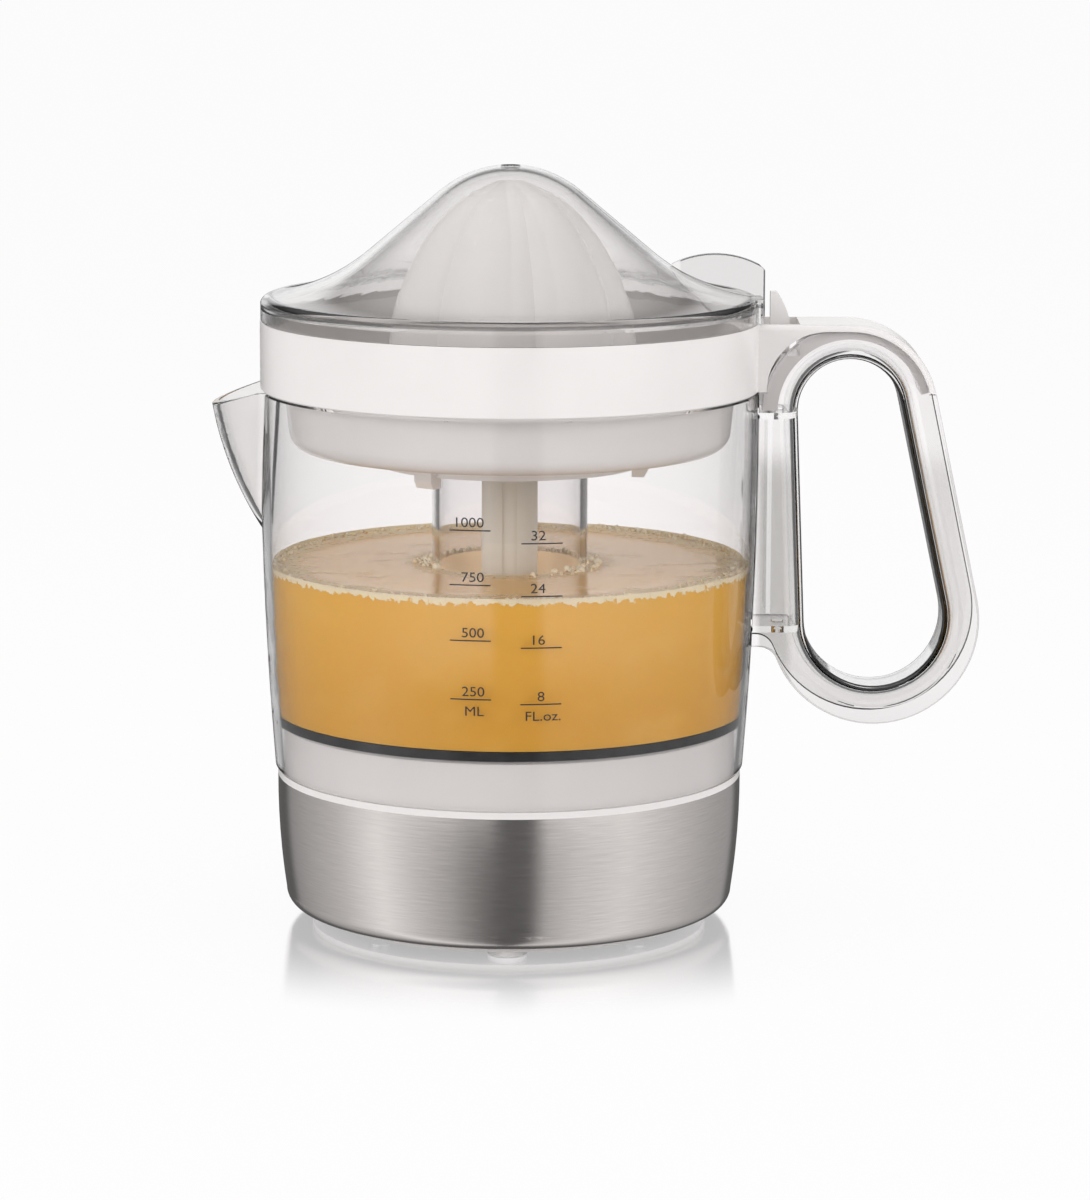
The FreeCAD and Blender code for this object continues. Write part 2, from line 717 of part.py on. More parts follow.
def jug_body():
    skin = without(jug_core(0), eased_ring(JUG_RIM_RADIUS, jug_rim, -1), eased_ring(jug_foot_radius, jug_foot, 1))
    spout = without(spout_core(0), spout_top(), rod(JUG_RIM_RADIUS * 2, jug_rim, ring_top))
    spout = spout.makeFillet(SPOUT_EDGE, [edge for edge in spout.Edges if on_mouth(edge)])
    body = joined(skin, spout, jug_handle().cut(jug_core(0)))
    return without(body, jug_core(JUG_WALL), spout_core(JUG_WALL))


def jug_bore(height):
    """Radius of the jug's inner wall at a height, read from its section."""
    ray = Part.makeLine(V(0, 0, height), V(2 * JUG_RIM_RADIUS, 0, height))
    return max(v.X for v in jug_core(JUG_WALL).common(ray).Vertexes)


def jug_base():
    disc = tube(floor_radius, CHIMNEY_RADIUS - CHIMNEY_WALL, hub_top, jug_floor)
    return joined(disc, tube(CHIMNEY_RADIUS, CHIMNEY_RADIUS - CHIMNEY_WALL, hub_top, chimney_top))


def floor_seal():
    low, high = [(jug_bore(level) - RUNNING, level) for level in (hub_top, jug_floor)]
    return turned((floor_radius, hub_top), low, high, (floor_radius, jug_floor))


floor_radius = jug_bore(hub_top) - SEAL_WIDTH


# Tray and pulp control

def tray_rib():
    """Gusset that centres the bowl in the jug's rim."""
    reach = JUG_RIM_RADIUS - JUG_WALL - LOOSE
    root = tray_low_radius - TRAY_WALL / 2
    face = outline((root, jug_rim), (reach, jug_rim), (reach, jug_rim - TRAY_RIB_DROP / 2),
                   (root, jug_rim - TRAY_RIB_DROP))
    return slab(face, TRAY_RIB)


def tray_arm():
    """Cap and tongue that lie on the jug's handle."""
    low = grip_top_z + SEATING
    outer = GRIP_TOP_RADIUS + GRIP_BAND
    region = slab(above_arm(0, ARM_END_ANGLE), GRIP_DEPTH)
    round_end = rod(outer, -grip_half, grip_half).rotated(ORIGIN, V(1, 0, 0), 90)
    round_end = round_end.translated(V(grip_top_x, 0, grip_top_z))
    flat = block(0, grip_top_x, -grip_half, grip_half, jug_rim, grip_top_z + outer)
    cap = region.common(joined(round_end, flat))
    rim = [edge for edge in cap.Edges if on_arm_rim(edge)]
    cap = cap.makeFillet(ARM_EDGE, rim)
    seat = GRIP_TOP_RADIUS + GRIP_INNER + channel_bend + SEATING
    depth = 2 * (channel_half - SEATING)
    rise = math.degrees(math.asin(SEATING / seat))
    inside = arm_radius + ARM_CAP / 2
    band = outline(grip_arc(seat, ARM_END_ANGLE), (grip_arc(seat, 90), grip_arc(seat, 180 - rise)),
                   (grip_arc(outer, 180)[0], low), (grip_arc(outer, 120), grip_arc(inside, 90)),
                   (grip_arc(inside, 45), grip_arc(inside, ARM_END_ANGLE)))
    clear = turned((0, 0), (JUG_RIM_RADIUS + SEATING, 0), (JUG_RIM_RADIUS + SEATING, jug_rim), (0, jug_rim))
    return joined(cap, slab(band, depth)).cut(clear)


def on_arm_rim(edge):
    """True for the two long upper edges of the arm."""
    middle = edge.valueAt((edge.FirstParameter + edge.LastParameter) / 2)
    if abs(abs(middle.y) - grip_half) > 1e-3 or edge.Length < ARM_CAP * 2:
        return False
    radius = math.hypot(middle.x - grip_top_x, middle.z - grip_top_z)
    outer = GRIP_TOP_RADIUS + GRIP_BAND
    return abs(radius - outer) < 1e-3 or abs(middle.z - grip_top_z - outer) < 1e-3


def lever_room():
    """Pocket and notch in which the pulp lever swings."""
    low = ring_top - LEVER_DROP - LEVER_THICKNESS - LOOSE
    swing = math.sin(math.radians(PULP_SWING)) * fin_outer_x
    half = LEVER_WIDTH / 2 + swing + LOOSE
    end = fin_outer_x + POCKET_REACH
    return block(ring_bore - RING_WALL * 2, end, -half, half, low, ring_top + LOOSE)


def link_slot():
    half = LINK_RADIUS + LOOSE
    span = 2 * PULP_SWING + math.degrees(2 * half / link_circle)
    return sector(link_circle - half, link_circle + half, span, tray_floor, tray_deck)


def tray():
    inner_top = tray_top_radius - TRAY_WALL
    inner_low = tray_low_radius - TRAY_WALL
    bend = TRAY_CORNER * math.sqrt(0.5)
    inner_bend = (TRAY_CORNER - TRAY_WALL) * math.sqrt(0.5)
    centre_r = tray_low_radius - TRAY_CORNER
    centre_z = tray_floor + TRAY_CORNER
    collar_bore = SHAFT_RADIUS + RUNNING
    shell = turned(
        (JUG_RIM_RADIUS - RING_EDGE, jug_rim), (JUG_RIM_RADIUS, jug_rim + RING_EDGE),
        (JUG_RIM_RADIUS, ring_top), (ring_bore, ring_top),
        (ring_bore, jug_rim + RING_WALL), (inner_top, jug_rim + RING_WALL), (inner_low, centre_z),
        ((centre_r + inner_bend, centre_z - inner_bend), (centre_r, tray_deck)),
        (collar_radius, tray_deck), (collar_radius, tray_deck + TRAY_COLLAR_RISE),
        (collar_bore, tray_deck + TRAY_COLLAR_RISE), (collar_bore, tray_floor - TRAY_COLLAR_DROP),
        (collar_radius, tray_floor - TRAY_COLLAR_DROP), (collar_radius, tray_floor), (centre_r, tray_floor),
        ((centre_r + bend, centre_z - bend), (tray_low_radius, centre_z)), (tray_top_radius, jug_rim))
    arm = tray_arm().cut(rod(JUG_RIM_RADIUS - RING_WALL / 2, 0, ring_top))
    body = joined(shell, arm, *ring_of(tray_rib(), TRAY_RIB_COUNT, 180 / TRAY_RIB_COUNT))
    drain = sector(drain_inner, drain_outer, DRAIN_SPAN, tray_floor, tray_deck)
    slots = ring_of(link_slot(), HOOK_COUNT, HOOK_ANGLE)
    return without(body, *ring_of(drain, DRAIN_COUNT, HOOK_ANGLE), *slots, lever_room())


def pulp_sieve():
    low = tray_deck
    high = tray_deck + SIEVE_THICKNESS
    disc = tube(sieve_radius, collar_radius + LOOSE, low, high)
    slot = block(collar_radius + SIEVE_BORDER, sieve_radius - SIEVE_BORDER, -SIEVE_SLOT / 2, SIEVE_SLOT / 2,
                 low, high)
    pad = sector(link_circle - LINK_RADIUS * 2, link_circle + LINK_RADIUS * 2, DRAIN_SPAN, low, high)
    kept = ring_of(pad, HOOK_COUNT, HOOK_ANGLE)
    slots = [one.cut(kept) for one in ring_of(slot, SIEVE_SLOT_COUNT, 180 / SIEVE_SLOT_COUNT)]
    link = rod(LINK_RADIUS, tray_floor - LOOSE, low, V(link_circle, 0, 0))
    return joined(disc.cut(slots), *ring_of(link, HOOK_COUNT, HOOK_ANGLE))


def pulp_ring():
    high = tray_floor - LOOSE
    low = high - PULP_RING_HEIGHT
    ring = tube(pulp_ring_outer, pulp_ring_inner, low, high)
    drain = sector(drain_inner, drain_outer, DRAIN_SPAN, low, high)
    ring = without(ring, *ring_of(drain, DRAIN_COUNT, HOOK_ANGLE))
    outer = pulp_ring_outer + HOOK_REACH
    root = outer - HOOK_DEPTH
    middle = low + PULP_RING_HEIGHT / 2
    face = outline((root, low - HOOK_DROP), (outer - HOOK_REACH / 2, low - HOOK_DROP),
                   (outer, low - HOOK_DROP / 3), (outer, middle), (root, middle))
    return joined(ring, *ring_of(slab(face, HOOK_WIDTH), HOOK_COUNT, HOOK_ANGLE))


def pulp_lever():
    high = ring_top - LEVER_DROP
    low = high - LEVER_THICKNESS
    half = LEVER_WIDTH / 2
    leg_x = sieve_radius - LEVER_LEG
    bar = block(leg_x, fin_outer_x, -half, half, low, high)
    leg = block(leg_x, sieve_radius, -half, half, tray_deck + SIEVE_THICKNESS, high)
    top = ring_top + FIN_HEIGHT
    bow = ((fin_inner_x + FIN_FOOT * 0.72, ring_top + FIN_HEIGHT * 0.55), (fin_outer_x, ring_top))
    tip = fin_inner_x + FIN_TOP
    fin = outline((fin_inner_x, low), (fin_inner_x, top), (tip, top), bow, (fin_outer_x, low))
    return joined(bar, leg, slab(fin, FIN_WIDTH))


# Lid

def lid_core(inset):
    """Filled bell of the lid at a depth inside its outer skin."""
    flank = math.radians(LID_FLANK_ANGLE)
    brim = math.radians(LID_BRIM_ANGLE)
    flank_normal = (math.sin(flank), math.cos(flank))
    brim_normal = (math.sin(brim), math.cos(brim))
    crown_z = lid_top - LID_CROWN_RADIUS
    shoulder = (LID_CROWN_RADIUS * flank_normal[0], crown_z + LID_CROWN_RADIUS * flank_normal[1])
    edge = (lid_radius - LID_BRIM, lid_rim + LID_BRIM_RISE)
    span = (edge[0] - shoulder[0]) * flank_normal[0] + (edge[1] - shoulder[1]) * flank_normal[1]
    flare = span / (1 - math.cos(flank - brim))
    centre = (edge[0] + flare * brim_normal[0], edge[1] + flare * brim_normal[1])
    crown = LID_CROWN_RADIUS - inset
    sweep = flare + inset
    half_crown = (crown * math.sin(flank / 2), crown_z + crown * math.cos(flank / 2))
    crown_end = (crown * flank_normal[0], crown_z + crown * flank_normal[1])
    flare_start = (centre[0] - sweep * flank_normal[0], centre[1] - sweep * flank_normal[1])
    mean = (flank + brim) / 2
    flare_mid = (centre[0] - sweep * math.sin(mean), centre[1] - sweep * math.cos(mean))
    flare_end = (centre[0] - sweep * brim_normal[0], centre[1] - sweep * brim_normal[1])
    radius = lid_radius - inset
    corner = LID_BRIM - inset / 2
    rim_z = lid_rim - inset
    bend = (radius - corner * 0.25, rim_z + LID_BRIM_RISE * 0.62)
    return turned((0, lid_top - inset), (half_crown, crown_end), flare_start, (flare_mid, flare_end),
                  (bend, (radius, rim_z)), (radius, ring_top), (0, ring_top))


def lid():
    outer_x = lid_radius + LID_FIN_PROUD
    inner_x = outer_x - LID_FIN_LENGTH
    foot = ring_top + LID_FIN_FOOT_RISE
    end = ring_top + LID_FIN_OUTER_RISE
    crest = ((inner_x + LID_FIN_PEAK, ring_top + LID_FIN_PEAK_RISE), (outer_x - LID_FIN, end + LID_FIN))
    start = (inner_x, ring_top + LID_FIN_INNER_RISE)
    fin = outline((inner_x, foot), start, crest, (outer_x, end), (outer_x, foot))
    cavity = lid_core(LID_WALL)
    bell = lid_core(0).cut(cavity)
    skirt_radius = ring_bore - LOOSE
    skirt = tube(skirt_radius, skirt_radius - LID_SKIRT, ring_top - LID_SKIRT_DROP, lid_rim)
    skirt = skirt.common(joined(lid_core(0), rod(lid_radius, ring_top - LID_SKIRT_DROP, ring_top)))
    gate = rod(LID_GATE_RADIUS, lid_top - LID_GATE_DEPTH, lid_top)
    tab = rod(outer_x, ring_top, foot).common(block(inner_x, outer_x, -LID_TAB / 2, LID_TAB / 2, ring_top, foot))
    tab = tab.cut(rod(lid_radius - LID_WALL / 2, ring_top, foot))
    return joined(bell, slab(fin, LID_FIN).cut(lid_core(LID_WALL / 2)), tab, skirt).cut(gate)


# Reamer, press and drive

def reamer_radius(share):
    """Crest radius of the reamer, from 0 at its base to 1 at its tip."""
    return REAMER_BASE_RADIUS * (1 - share ** 2.1) ** 0.55


def lobed_wire(radius, height):
    """Closed ring of convex lobes that meet in sharp valleys."""
    step = 360 / REAMER_LOBES
    edges = []
    for i in range(REAMER_LOBES):
        start = REAMER_TURN + i * step
        ends = [polar(radius * REAMER_VALLEY, angle, height) for angle in (start, start + step)]
        edges.append(Part.Arc(ends[0], polar(radius, start + step / 2, height), ends[1]).toShape())
    return Part.Wire(edges)


reamer_top = lid_top - LID_WALL - REAMER_TIP_GAP
reamer_low = reamer_top - REAMER_HEIGHT
hub_low = shaft_top + PRESS_TRAVEL + LOOSE


def reamer():
    shares = (0.0, 0.2, 0.4, 0.58, 0.74, 0.87, 0.95)
    sections = [lobed_wire(reamer_radius(s), reamer_low + REAMER_HEIGHT * s) for s in shares]
    sections.append(lobed_wire(REAMER_TIP_RADIUS, reamer_top))
    cone = Part.makeLoft(sections, True, False)
    hollow = []
    for s in (0.0, 0.2, 0.4, 0.58, 0.74):
        radius = reamer_radius(s) * REAMER_VALLEY - REAMER_WALL
        hollow.append(Part.Wire(Part.makeCircle(radius, V(0, 0, reamer_low + REAMER_HEIGHT * s))))
    cavity = Part.makeLoft(hollow, True, False)
    hub = rod(ROD_FLATS / 2 + REAMER_HUB_WALL, hub_low, reamer_low + REAMER_HEIGHT * 0.74)
    socket = prism(ROD_FLATS, 6, hub_low, hub_low + REAMER_SOCKET)
    return joined(cone.cut(cavity), hub).cut(socket)


def press_rod():
    return prism(ROD_FLATS, 6, pin_top, hub_low + REAMER_SOCKET)


def drive_shaft():
    low = dog_top - DOG_SOCKET
    body = rod(SHAFT_RADIUS, low, shaft_top)
    half = SHAFT_GROOVE / 2
    groove = block(SHAFT_RADIUS - SHAFT_GROOVE_DEPTH, SHAFT_RADIUS * 2, -half, half, low + SHAFT_GROOVE,
                   tray_floor - TRAY_COLLAR_DROP - SHAFT_GROOVE)
    socket = prism(DOG_FLATS + 2 * SLIDING, 6, low, dog_top)
    bore = prism(ROD_FLATS + 2 * SLIDING, 6, dog_top, shaft_top)
    return without(body, *ring_of(groove, SHAFT_GROOVE_COUNT), socket, bore)


def gear(teeth, low, high, phase):
    """Spur gear with involute flanks; one tooth points at the phase angle."""
    pitch = gear_module * teeth / 2
    base = pitch * math.cos(math.radians(PRESSURE_ANGLE))
    tip = pitch + ADDENDUM_RATIO * gear_module
    root = pitch - DEDENDUM_RATIO * gear_module

    def involute(radius):
        angle = math.acos(min(base / radius, 1.0))
        return math.tan(angle) - angle

    half_at_pitch = (math.pi * gear_module / 2 - GEAR_BACKLASH / 2) / (2 * pitch)
    start = max(base, root)
    radii = sorted({round(r, 6) for r in [root] + [start + (tip - start) * i / 4 for i in range(5)]})
    flank = [(r, half_at_pitch + involute(pitch) - involute(max(r, base))) for r in radii]
    points = []
    for i in range(teeth):
        middle = phase + 360 * i / teeth
        points += [polar(r, middle - math.degrees(a), low) for r, a in flank]
        points += [polar(r, middle + math.degrees(a), low) for r, a in reversed(flank)]
    return Part.Face(Part.makePolygon(points + points[:1])).extrude(V(0, 0, high - low))


def output_gear():
    wheel = gear(OUTPUT_TEETH, output_low, output_top, double_angle)
    spindle = rod(SPINDLE_RADIUS, plate_under + LOOSE, dog_low)
    dog = prism(DOG_FLATS, 6, dog_low, dog_top)
    bore = rod(PIN_RADIUS + RUNNING, plate_under, dog_top)
    return joined(wheel, spindle, dog).cut(bore)


def double_gear():
    small = gear(SMALL_TEETH, output_low, output_top, 180 + 180 / SMALL_TEETH + double_angle)
    large = gear(LARGE_TEETH, large_low, large_top, pinion_angle)
    neck = rod(AXLE_RADIUS * 2, plate_deck, large_low)
    bore = rod(AXLE_RADIUS + RUNNING, plate_deck, large_top)
    return joined(small, large, neck).cut(bore).translated(double_centre)


def double_axle():
    return rod(AXLE_RADIUS, plate_under, deck_under, double_centre)


def rotor_pinion():
    wheel = gear(PINION_TEETH, large_low, large_top, 180 + 180 / PINION_TEETH + pinion_angle)
    return wheel.cut(rod(ROTOR_SHAFT, large_low, large_top)).translated(motor_centre)


def rotor_shaft():
    return rod(ROTOR_SHAFT, bridge_low + BRIDGE_THICKNESS / 2, large_top, motor_centre)


def rotor_core():
    return tube(ROTOR_RADIUS, ROTOR_SHAFT, stack_low, stack_top, motor_centre)


def bolt_places():
    return [motor_centre + V(0, side * bolt_place, 0) for side in (-1, 1)]


def coil_box(half_length, half_thickness, low, high):
    x = motor_centre.x
    return [block(x - half_length, x + half_length, side * coil_place - half_thickness,
                  side * coil_place + half_thickness, low, high) for side in (-1, 1)]


def stator_core():
    x = motor_centre.x
    half = stator_length / 2
    stack = block(x - half, x + half, -stator_half, stator_half, stack_low, stack_top)
    bore = rod(ROTOR_RADIUS + AIR_GAP, stack_low, stack_top, motor_centre)
    windows = coil_box(coil_outer / 2, COIL_THICKNESS / 2, stack_low, stack_top)
    limbs = coil_box(coil_outer / 2 - COIL_LIMB, COIL_THICKNESS / 2, stack_low, stack_top)
    bolts = [rod(BOLT_RADIUS, stack_low, stack_top, place) for place in bolt_places()]
    return without(stack, bore, *[w.cut(l) for w, l in zip(windows, limbs)], *bolts)


def field_coils():
    outer = coil_box(coil_outer / 2, COIL_THICKNESS / 2, stack_low - COIL_HEAD, stack_top + COIL_HEAD)
    inner = coil_box(coil_outer / 2 - COIL_LIMB, COIL_THICKNESS / 2, stack_low, stack_top)
    return Part.makeCompound([o.cut(i) for o, i in zip(outer, inner)])


def motor_bridge():
    x = motor_centre.x
    half = BRIDGE_WIDTH / 2
    strap = block(x - half, x + half, -stator_half, stator_half, bridge_low, bridge_top)
    boss = rod(BRIDGE_BOSS, bridge_low, stack_low - LOOSE, motor_centre)
    bearing = rod(ROTOR_SHAFT + RUNNING, bridge_low + BRIDGE_THICKNESS / 2, stack_low, motor_centre)
    bolts = [rod(BOLT_RADIUS, bridge_low, bridge_top, place) for place in bolt_places()]
    return without(joined(strap, boss), bearing, *bolts)


def motor_bolts():
    bolts = []
    for place in bolt_places():
        head = rod(SCREW_HEAD, bridge_low - SCREW_HEAD_HEIGHT, bridge_low, place)
        bolts.append(joined(head, rod(BOLT_RADIUS, bridge_low, plate_deck, place)))
    return Part.makeCompound(bolts)


def motor_spacers():
    outer = BOLT_RADIUS + SPACER_WALL
    spans = ((bridge_top, stack_low), (stack_top, plate_under))
    return Part.makeCompound([tube(outer, BOLT_RADIUS, low, high, place)
                              for low, high in spans for place in bolt_places()])


def gear_plate():
    holes = [(bush_radius, ORIGIN), (AXLE_RADIUS, double_centre), (ROTOR_SHAFT + RUNNING, motor_centre)]
    holes += [(BOLT_RADIUS, place) for place in bolt_places()]
    holes += [(SCREW_RADIUS, polar(boss_circle, angle)) for angle in BOSS_ANGLES]
    plate = rod(gear_plate_radius, plate_under, plate_deck)
    return without(plate, *[rod(radius, plate_under, plate_deck, place) for radius, place in holes])


def plate_screws():
    return Part.makeCompound([screw(plate_under - SCREW_HEAD_HEIGHT, plate_under, plate_deck + SCREW_GRIP,
                                    polar(boss_circle, angle)) for angle in BOSS_ANGLES])


def lower_bush():
    flange = rod(bush_radius + BUSH_WALL, plate_deck, output_low)
    sleeve = rod(bush_radius, plate_under, plate_deck)
    return joined(sleeve, flange).cut(rod(spindle_bore, plate_under, output_low))


def upper_bush():
    high = collar_top - SEAL_HEIGHT
    return tube(bush_radius, spindle_bore, high - BUSH_LENGTH, high)


def spindle_seal():
    return tube(bush_radius, SPINDLE_RADIUS + LOOSE, collar_top - SEAL_HEIGHT, collar_top)


def plunger_pin():
    collar = rod(PIN_COLLAR, plate_under - PIN_COLLAR_HEIGHT, plate_under)
    return joined(rod(PIN_RADIUS, pin_foot, pin_top), collar)


def biarc(start, start_way, end, end_way):
    """Two arcs that leave along one direction and arrive along another."""
    span = end.sub(start)
    ways = start_way.add(end_way)
    a = 2 * (1 - start_way.dot(end_way))
    b = 2 * span.dot(ways)
    reach = (-b + math.sqrt(b * b + 4 * a * span.dot(span))) / (2 * a)
    middle = (start + start_way * reach + end - end_way * reach) * 0.5
    arcs = []
    for first, way, last in ((start, start_way, middle), (end, end_way * -1, middle)):
        chord = last.sub(first)
        bow = chord.sub(way * way.dot(chord))
        radius = chord.dot(chord) / (2 * bow.Length)
        centre = first + bow.normalize() * radius
        half = (first + last) * 0.5 - centre
        arcs.append((first, centre + half.normalize() * radius, last))
    (p, q, r), (u, v, w) = arcs
    return [Part.Arc(p, q, r).toShape(), Part.Arc(w, v, u).toShape()]


def return_spring():
    low = spring_seat + SPRING_WIRE + SLIDING
    high = plate_under - PIN_COLLAR_HEIGHT - SPRING_WIRE - SLIDING
    rise = (high - low) / (SPRING_TURNS * 360)
    pitch = rise * math.degrees(1) / SPRING_RADIUS

    def state(angle):
        way = polar(1, angle + 90, pitch)
        return polar(SPRING_RADIUS, angle, low + rise * angle), way.normalize()

    edges = []
    for i in range(SPRING_TURNS * 4):
        edges += biarc(*state(90 * i), *state(90 * (i + 1)))
    path = Part.Wire(edges)
    place, way = state(0)
    profile = Part.Wire(Part.makeCircle(SPRING_WIRE, place, way))
    return path.makePipeShell([profile], True, False)


def switch_bracket():
    half = SWITCH_LENGTH / 2 + BRACKET_ROOM
    width = BRACKET_WIDTH / 2
    low = switch_low - BRACKET
    legs = [block(-width, width, half, half + BRACKET, low, plate_under)]
    legs.append(block(-width, width, half, half + BRACKET_FLANGE, plate_under - BRACKET, plate_under))
    legs += [leg.rotated(ORIGIN, UP, 180) for leg in list(legs)]
    seat = block(-width, width, -half - BRACKET / 2, half + BRACKET / 2, spring_seat - BRACKET, spring_seat)
    shelf = block(-width, width, -half - BRACKET / 2, half + BRACKET / 2, low, switch_low)
    return joined(seat.cut(rod(PIN_RADIUS + LOOSE, low, spring_seat)), shelf, *legs)


def switch_body():
    half_x = SWITCH_WIDTH / 2
    half_y = SWITCH_LENGTH / 2
    body = block(-half_x, half_x, -half_y, half_y, switch_low, switch_top)
    depth = BUTTON_ROOT + PRESS_TRAVEL + LOOSE
    return body.cut(rod(BUTTON_RADIUS + LOOSE, switch_top - depth, switch_top))


def switch_button():
    return rod(BUTTON_RADIUS, switch_top - BUTTON_ROOT, pin_foot)


def pole_place(i):
    return V(BLOCK_REACH + (i - (BLOCK_POLES - 1) / 2) * BLOCK_LENGTH / BLOCK_POLES, BLOCK_SIDE, 0)


def terminal_block():
    half_x, half_y = BLOCK_LENGTH / 2, BLOCK_WIDTH / 2
    body = block(BLOCK_REACH - half_x, BLOCK_REACH + half_x, BLOCK_SIDE - half_y, BLOCK_SIDE + half_y,
                 plate_top, plate_top + BLOCK_HEIGHT)
    bores = [rod(BLOCK_BORE, pole_floor, plate_top + BLOCK_HEIGHT, pole_place(i)) for i in range(BLOCK_POLES)]
    return without(body, *bores)


pole_floor = plate_top + BLOCK_HEIGHT / 2


def lead(points):
    """Insulated wire along straight runs joined by tangent bends."""
    edges = []
    here = points[0]
    for before, corner, after in zip(points, points[1:], points[2:]):
        arrive = (corner - before).normalize()
        leave = (after - corner).normalize()
        start = corner - arrive * LEAD_BEND
        end = corner + leave * LEAD_BEND
        middle = corner + (leave - arrive) * (LEAD_BEND * (1 - math.sqrt(0.5)))
        edges += [Part.makeLine(here, start), Part.Arc(start, middle, end).toShape()]
        here = end
    edges.append(Part.makeLine(here, points[-1]))
    profile = Part.Wire(Part.makeCircle(LEAD_RADIUS, points[0], points[1] - points[0]))
    return Part.Wire(edges).makePipeShell([profile], True, False)


def lead_wires():
    """One lead to the switch and one to each coil, from the three poles."""
    to_switch, to_near, to_far = [pole_place(i) + V(0, 0, pole_floor) for i in range(BLOCK_POLES)]
    level = plate_under - LEAD_DROP
    tap = switch_low + LEAD_SWITCH_RISE
    gate = motor_centre.x + stator_length / 2 + LEAD_GAP
    coil = motor_centre.x + coil_outer / 2
    switch_run = [to_switch, V(to_switch.x, to_switch.y, spring_seat), V(to_switch.x, 0, spring_seat),
                  V(to_switch.x, 0, tap), V(SWITCH_WIDTH / 2, 0, tap)]
    coil_runs = []
    for pole, side in ((to_near, 1), (to_far, -1)):
        coil_runs.append([pole, V(pole.x, pole.y, level), V(pole.x, side * lead_side, level),
                          V(gate, side * lead_side, level), V(gate, side * coil_place, level),
                          V(coil, side * coil_place, level)])
    return Part.makeCompound([lead(run) for run in [switch_run] + coil_runs])


pieces = {
    "steel_sleeve": steel_sleeve,
    "base_housing": base_housing,
    "bottom_plate": bottom_plate,
    "rubber_feet": rubber_feet,
    "housing_screws": housing_screws,
    "cord_gland": cord_gland,
    "jug_body": jug_body,
    "jug_base": jug_base,
    "floor_seal": floor_seal,
    "tray": tray,
    "pulp_sieve": pulp_sieve,
    "pulp_ring": pulp_ring,
    "pulp_lever": pulp_lever,
    "lid": lid,
    "reamer": reamer,
    "press_rod": press_rod,
    "drive_shaft": drive_shaft,
    "output_gear": output_gear,
    "double_gear": double_gear,
    "double_axle": double_axle,
    "rotor_pinion": rotor_pinion,
    "rotor_shaft": rotor_shaft,
    "rotor_core": rotor_core,
    "stator_core": stator_core,
    "field_coils": field_coils,
    "motor_bridge": motor_bridge,
    "motor_bolts": motor_bolts,
    "motor_spacers": motor_spacers,
    "gear_plate": gear_plate,
    "plate_screws": plate_screws,
    "lower_bush": lower_bush,
    "upper_bush": upper_bush,
    "spindle_seal": spindle_seal,
    "plunger_pin": plunger_pin,
    "return_spring": return_spring,
    "switch_bracket": switch_bracket,
    "switch_body": switch_body,
    "switch_button": switch_button,
    "terminal_block": terminal_block,
    "lead_wires": lead_wires,
}

for node, make in pieces.items():
    save(node, make())
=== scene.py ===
import math
import random

import bpy
from mathutils import Matrix, Vector


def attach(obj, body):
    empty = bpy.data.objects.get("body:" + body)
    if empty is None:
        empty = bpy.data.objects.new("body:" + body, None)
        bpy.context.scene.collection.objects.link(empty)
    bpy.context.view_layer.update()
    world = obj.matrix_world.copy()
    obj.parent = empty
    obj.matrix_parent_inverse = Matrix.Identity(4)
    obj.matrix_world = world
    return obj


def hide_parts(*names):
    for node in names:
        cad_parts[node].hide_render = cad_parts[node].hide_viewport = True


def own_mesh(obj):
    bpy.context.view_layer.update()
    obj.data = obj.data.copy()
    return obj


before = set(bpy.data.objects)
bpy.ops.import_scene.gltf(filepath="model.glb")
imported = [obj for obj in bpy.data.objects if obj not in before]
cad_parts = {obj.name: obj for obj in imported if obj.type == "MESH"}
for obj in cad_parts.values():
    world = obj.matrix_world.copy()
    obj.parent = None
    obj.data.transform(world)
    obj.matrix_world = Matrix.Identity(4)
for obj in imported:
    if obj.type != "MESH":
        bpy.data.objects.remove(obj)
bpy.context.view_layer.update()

MM = 0.001

# Sizes of the jug that the looks follow, in millimetres
WALL_KNOTS = ((73.3, 47.8), (76.4, 100.0), (77.4, 166.4))
WALL = 2.2
JUG_FLOOR = 65.9
CHIMNEY = 24.3
JUICE_LEVEL = 111.6
JUICE_GAP = 0.25
INK_LIFT = 0.05
INK_DEPTH = 0.04
LID_CORNER = 193.2
FIN_CREST = ((50.0, 205.1), (62.3, 208.3), (76.7, 205.1))
FIN_END = 78.7


def circle_through(first, second, third):
    """Centre and radius of the circle through three points."""
    (ax, ay), (bx, by), (cx, cy) = first, second, third
    d = 2 * (ax * (by - cy) + bx * (cy - ay) + cx * (ay - by))
    aa, bb, cc = ax * ax + ay * ay, bx * bx + by * by, cx * cx + cy * cy
    ux = (aa * (by - cy) + bb * (cy - ay) + cc * (ay - by)) / d
    uy = (aa * (cx - bx) + bb * (ax - cx) + cc * (bx - ax)) / d
    return ux, uy, math.hypot(ax - ux, ay - uy)


def wall_radius(height):
    """Outer radius of the jug's wall, on the arc through its three knots."""
    x, y, radius = circle_through(*WALL_KNOTS)
    return x + math.sqrt(radius ** 2 - (height - y) ** 2)


# Shader expressions

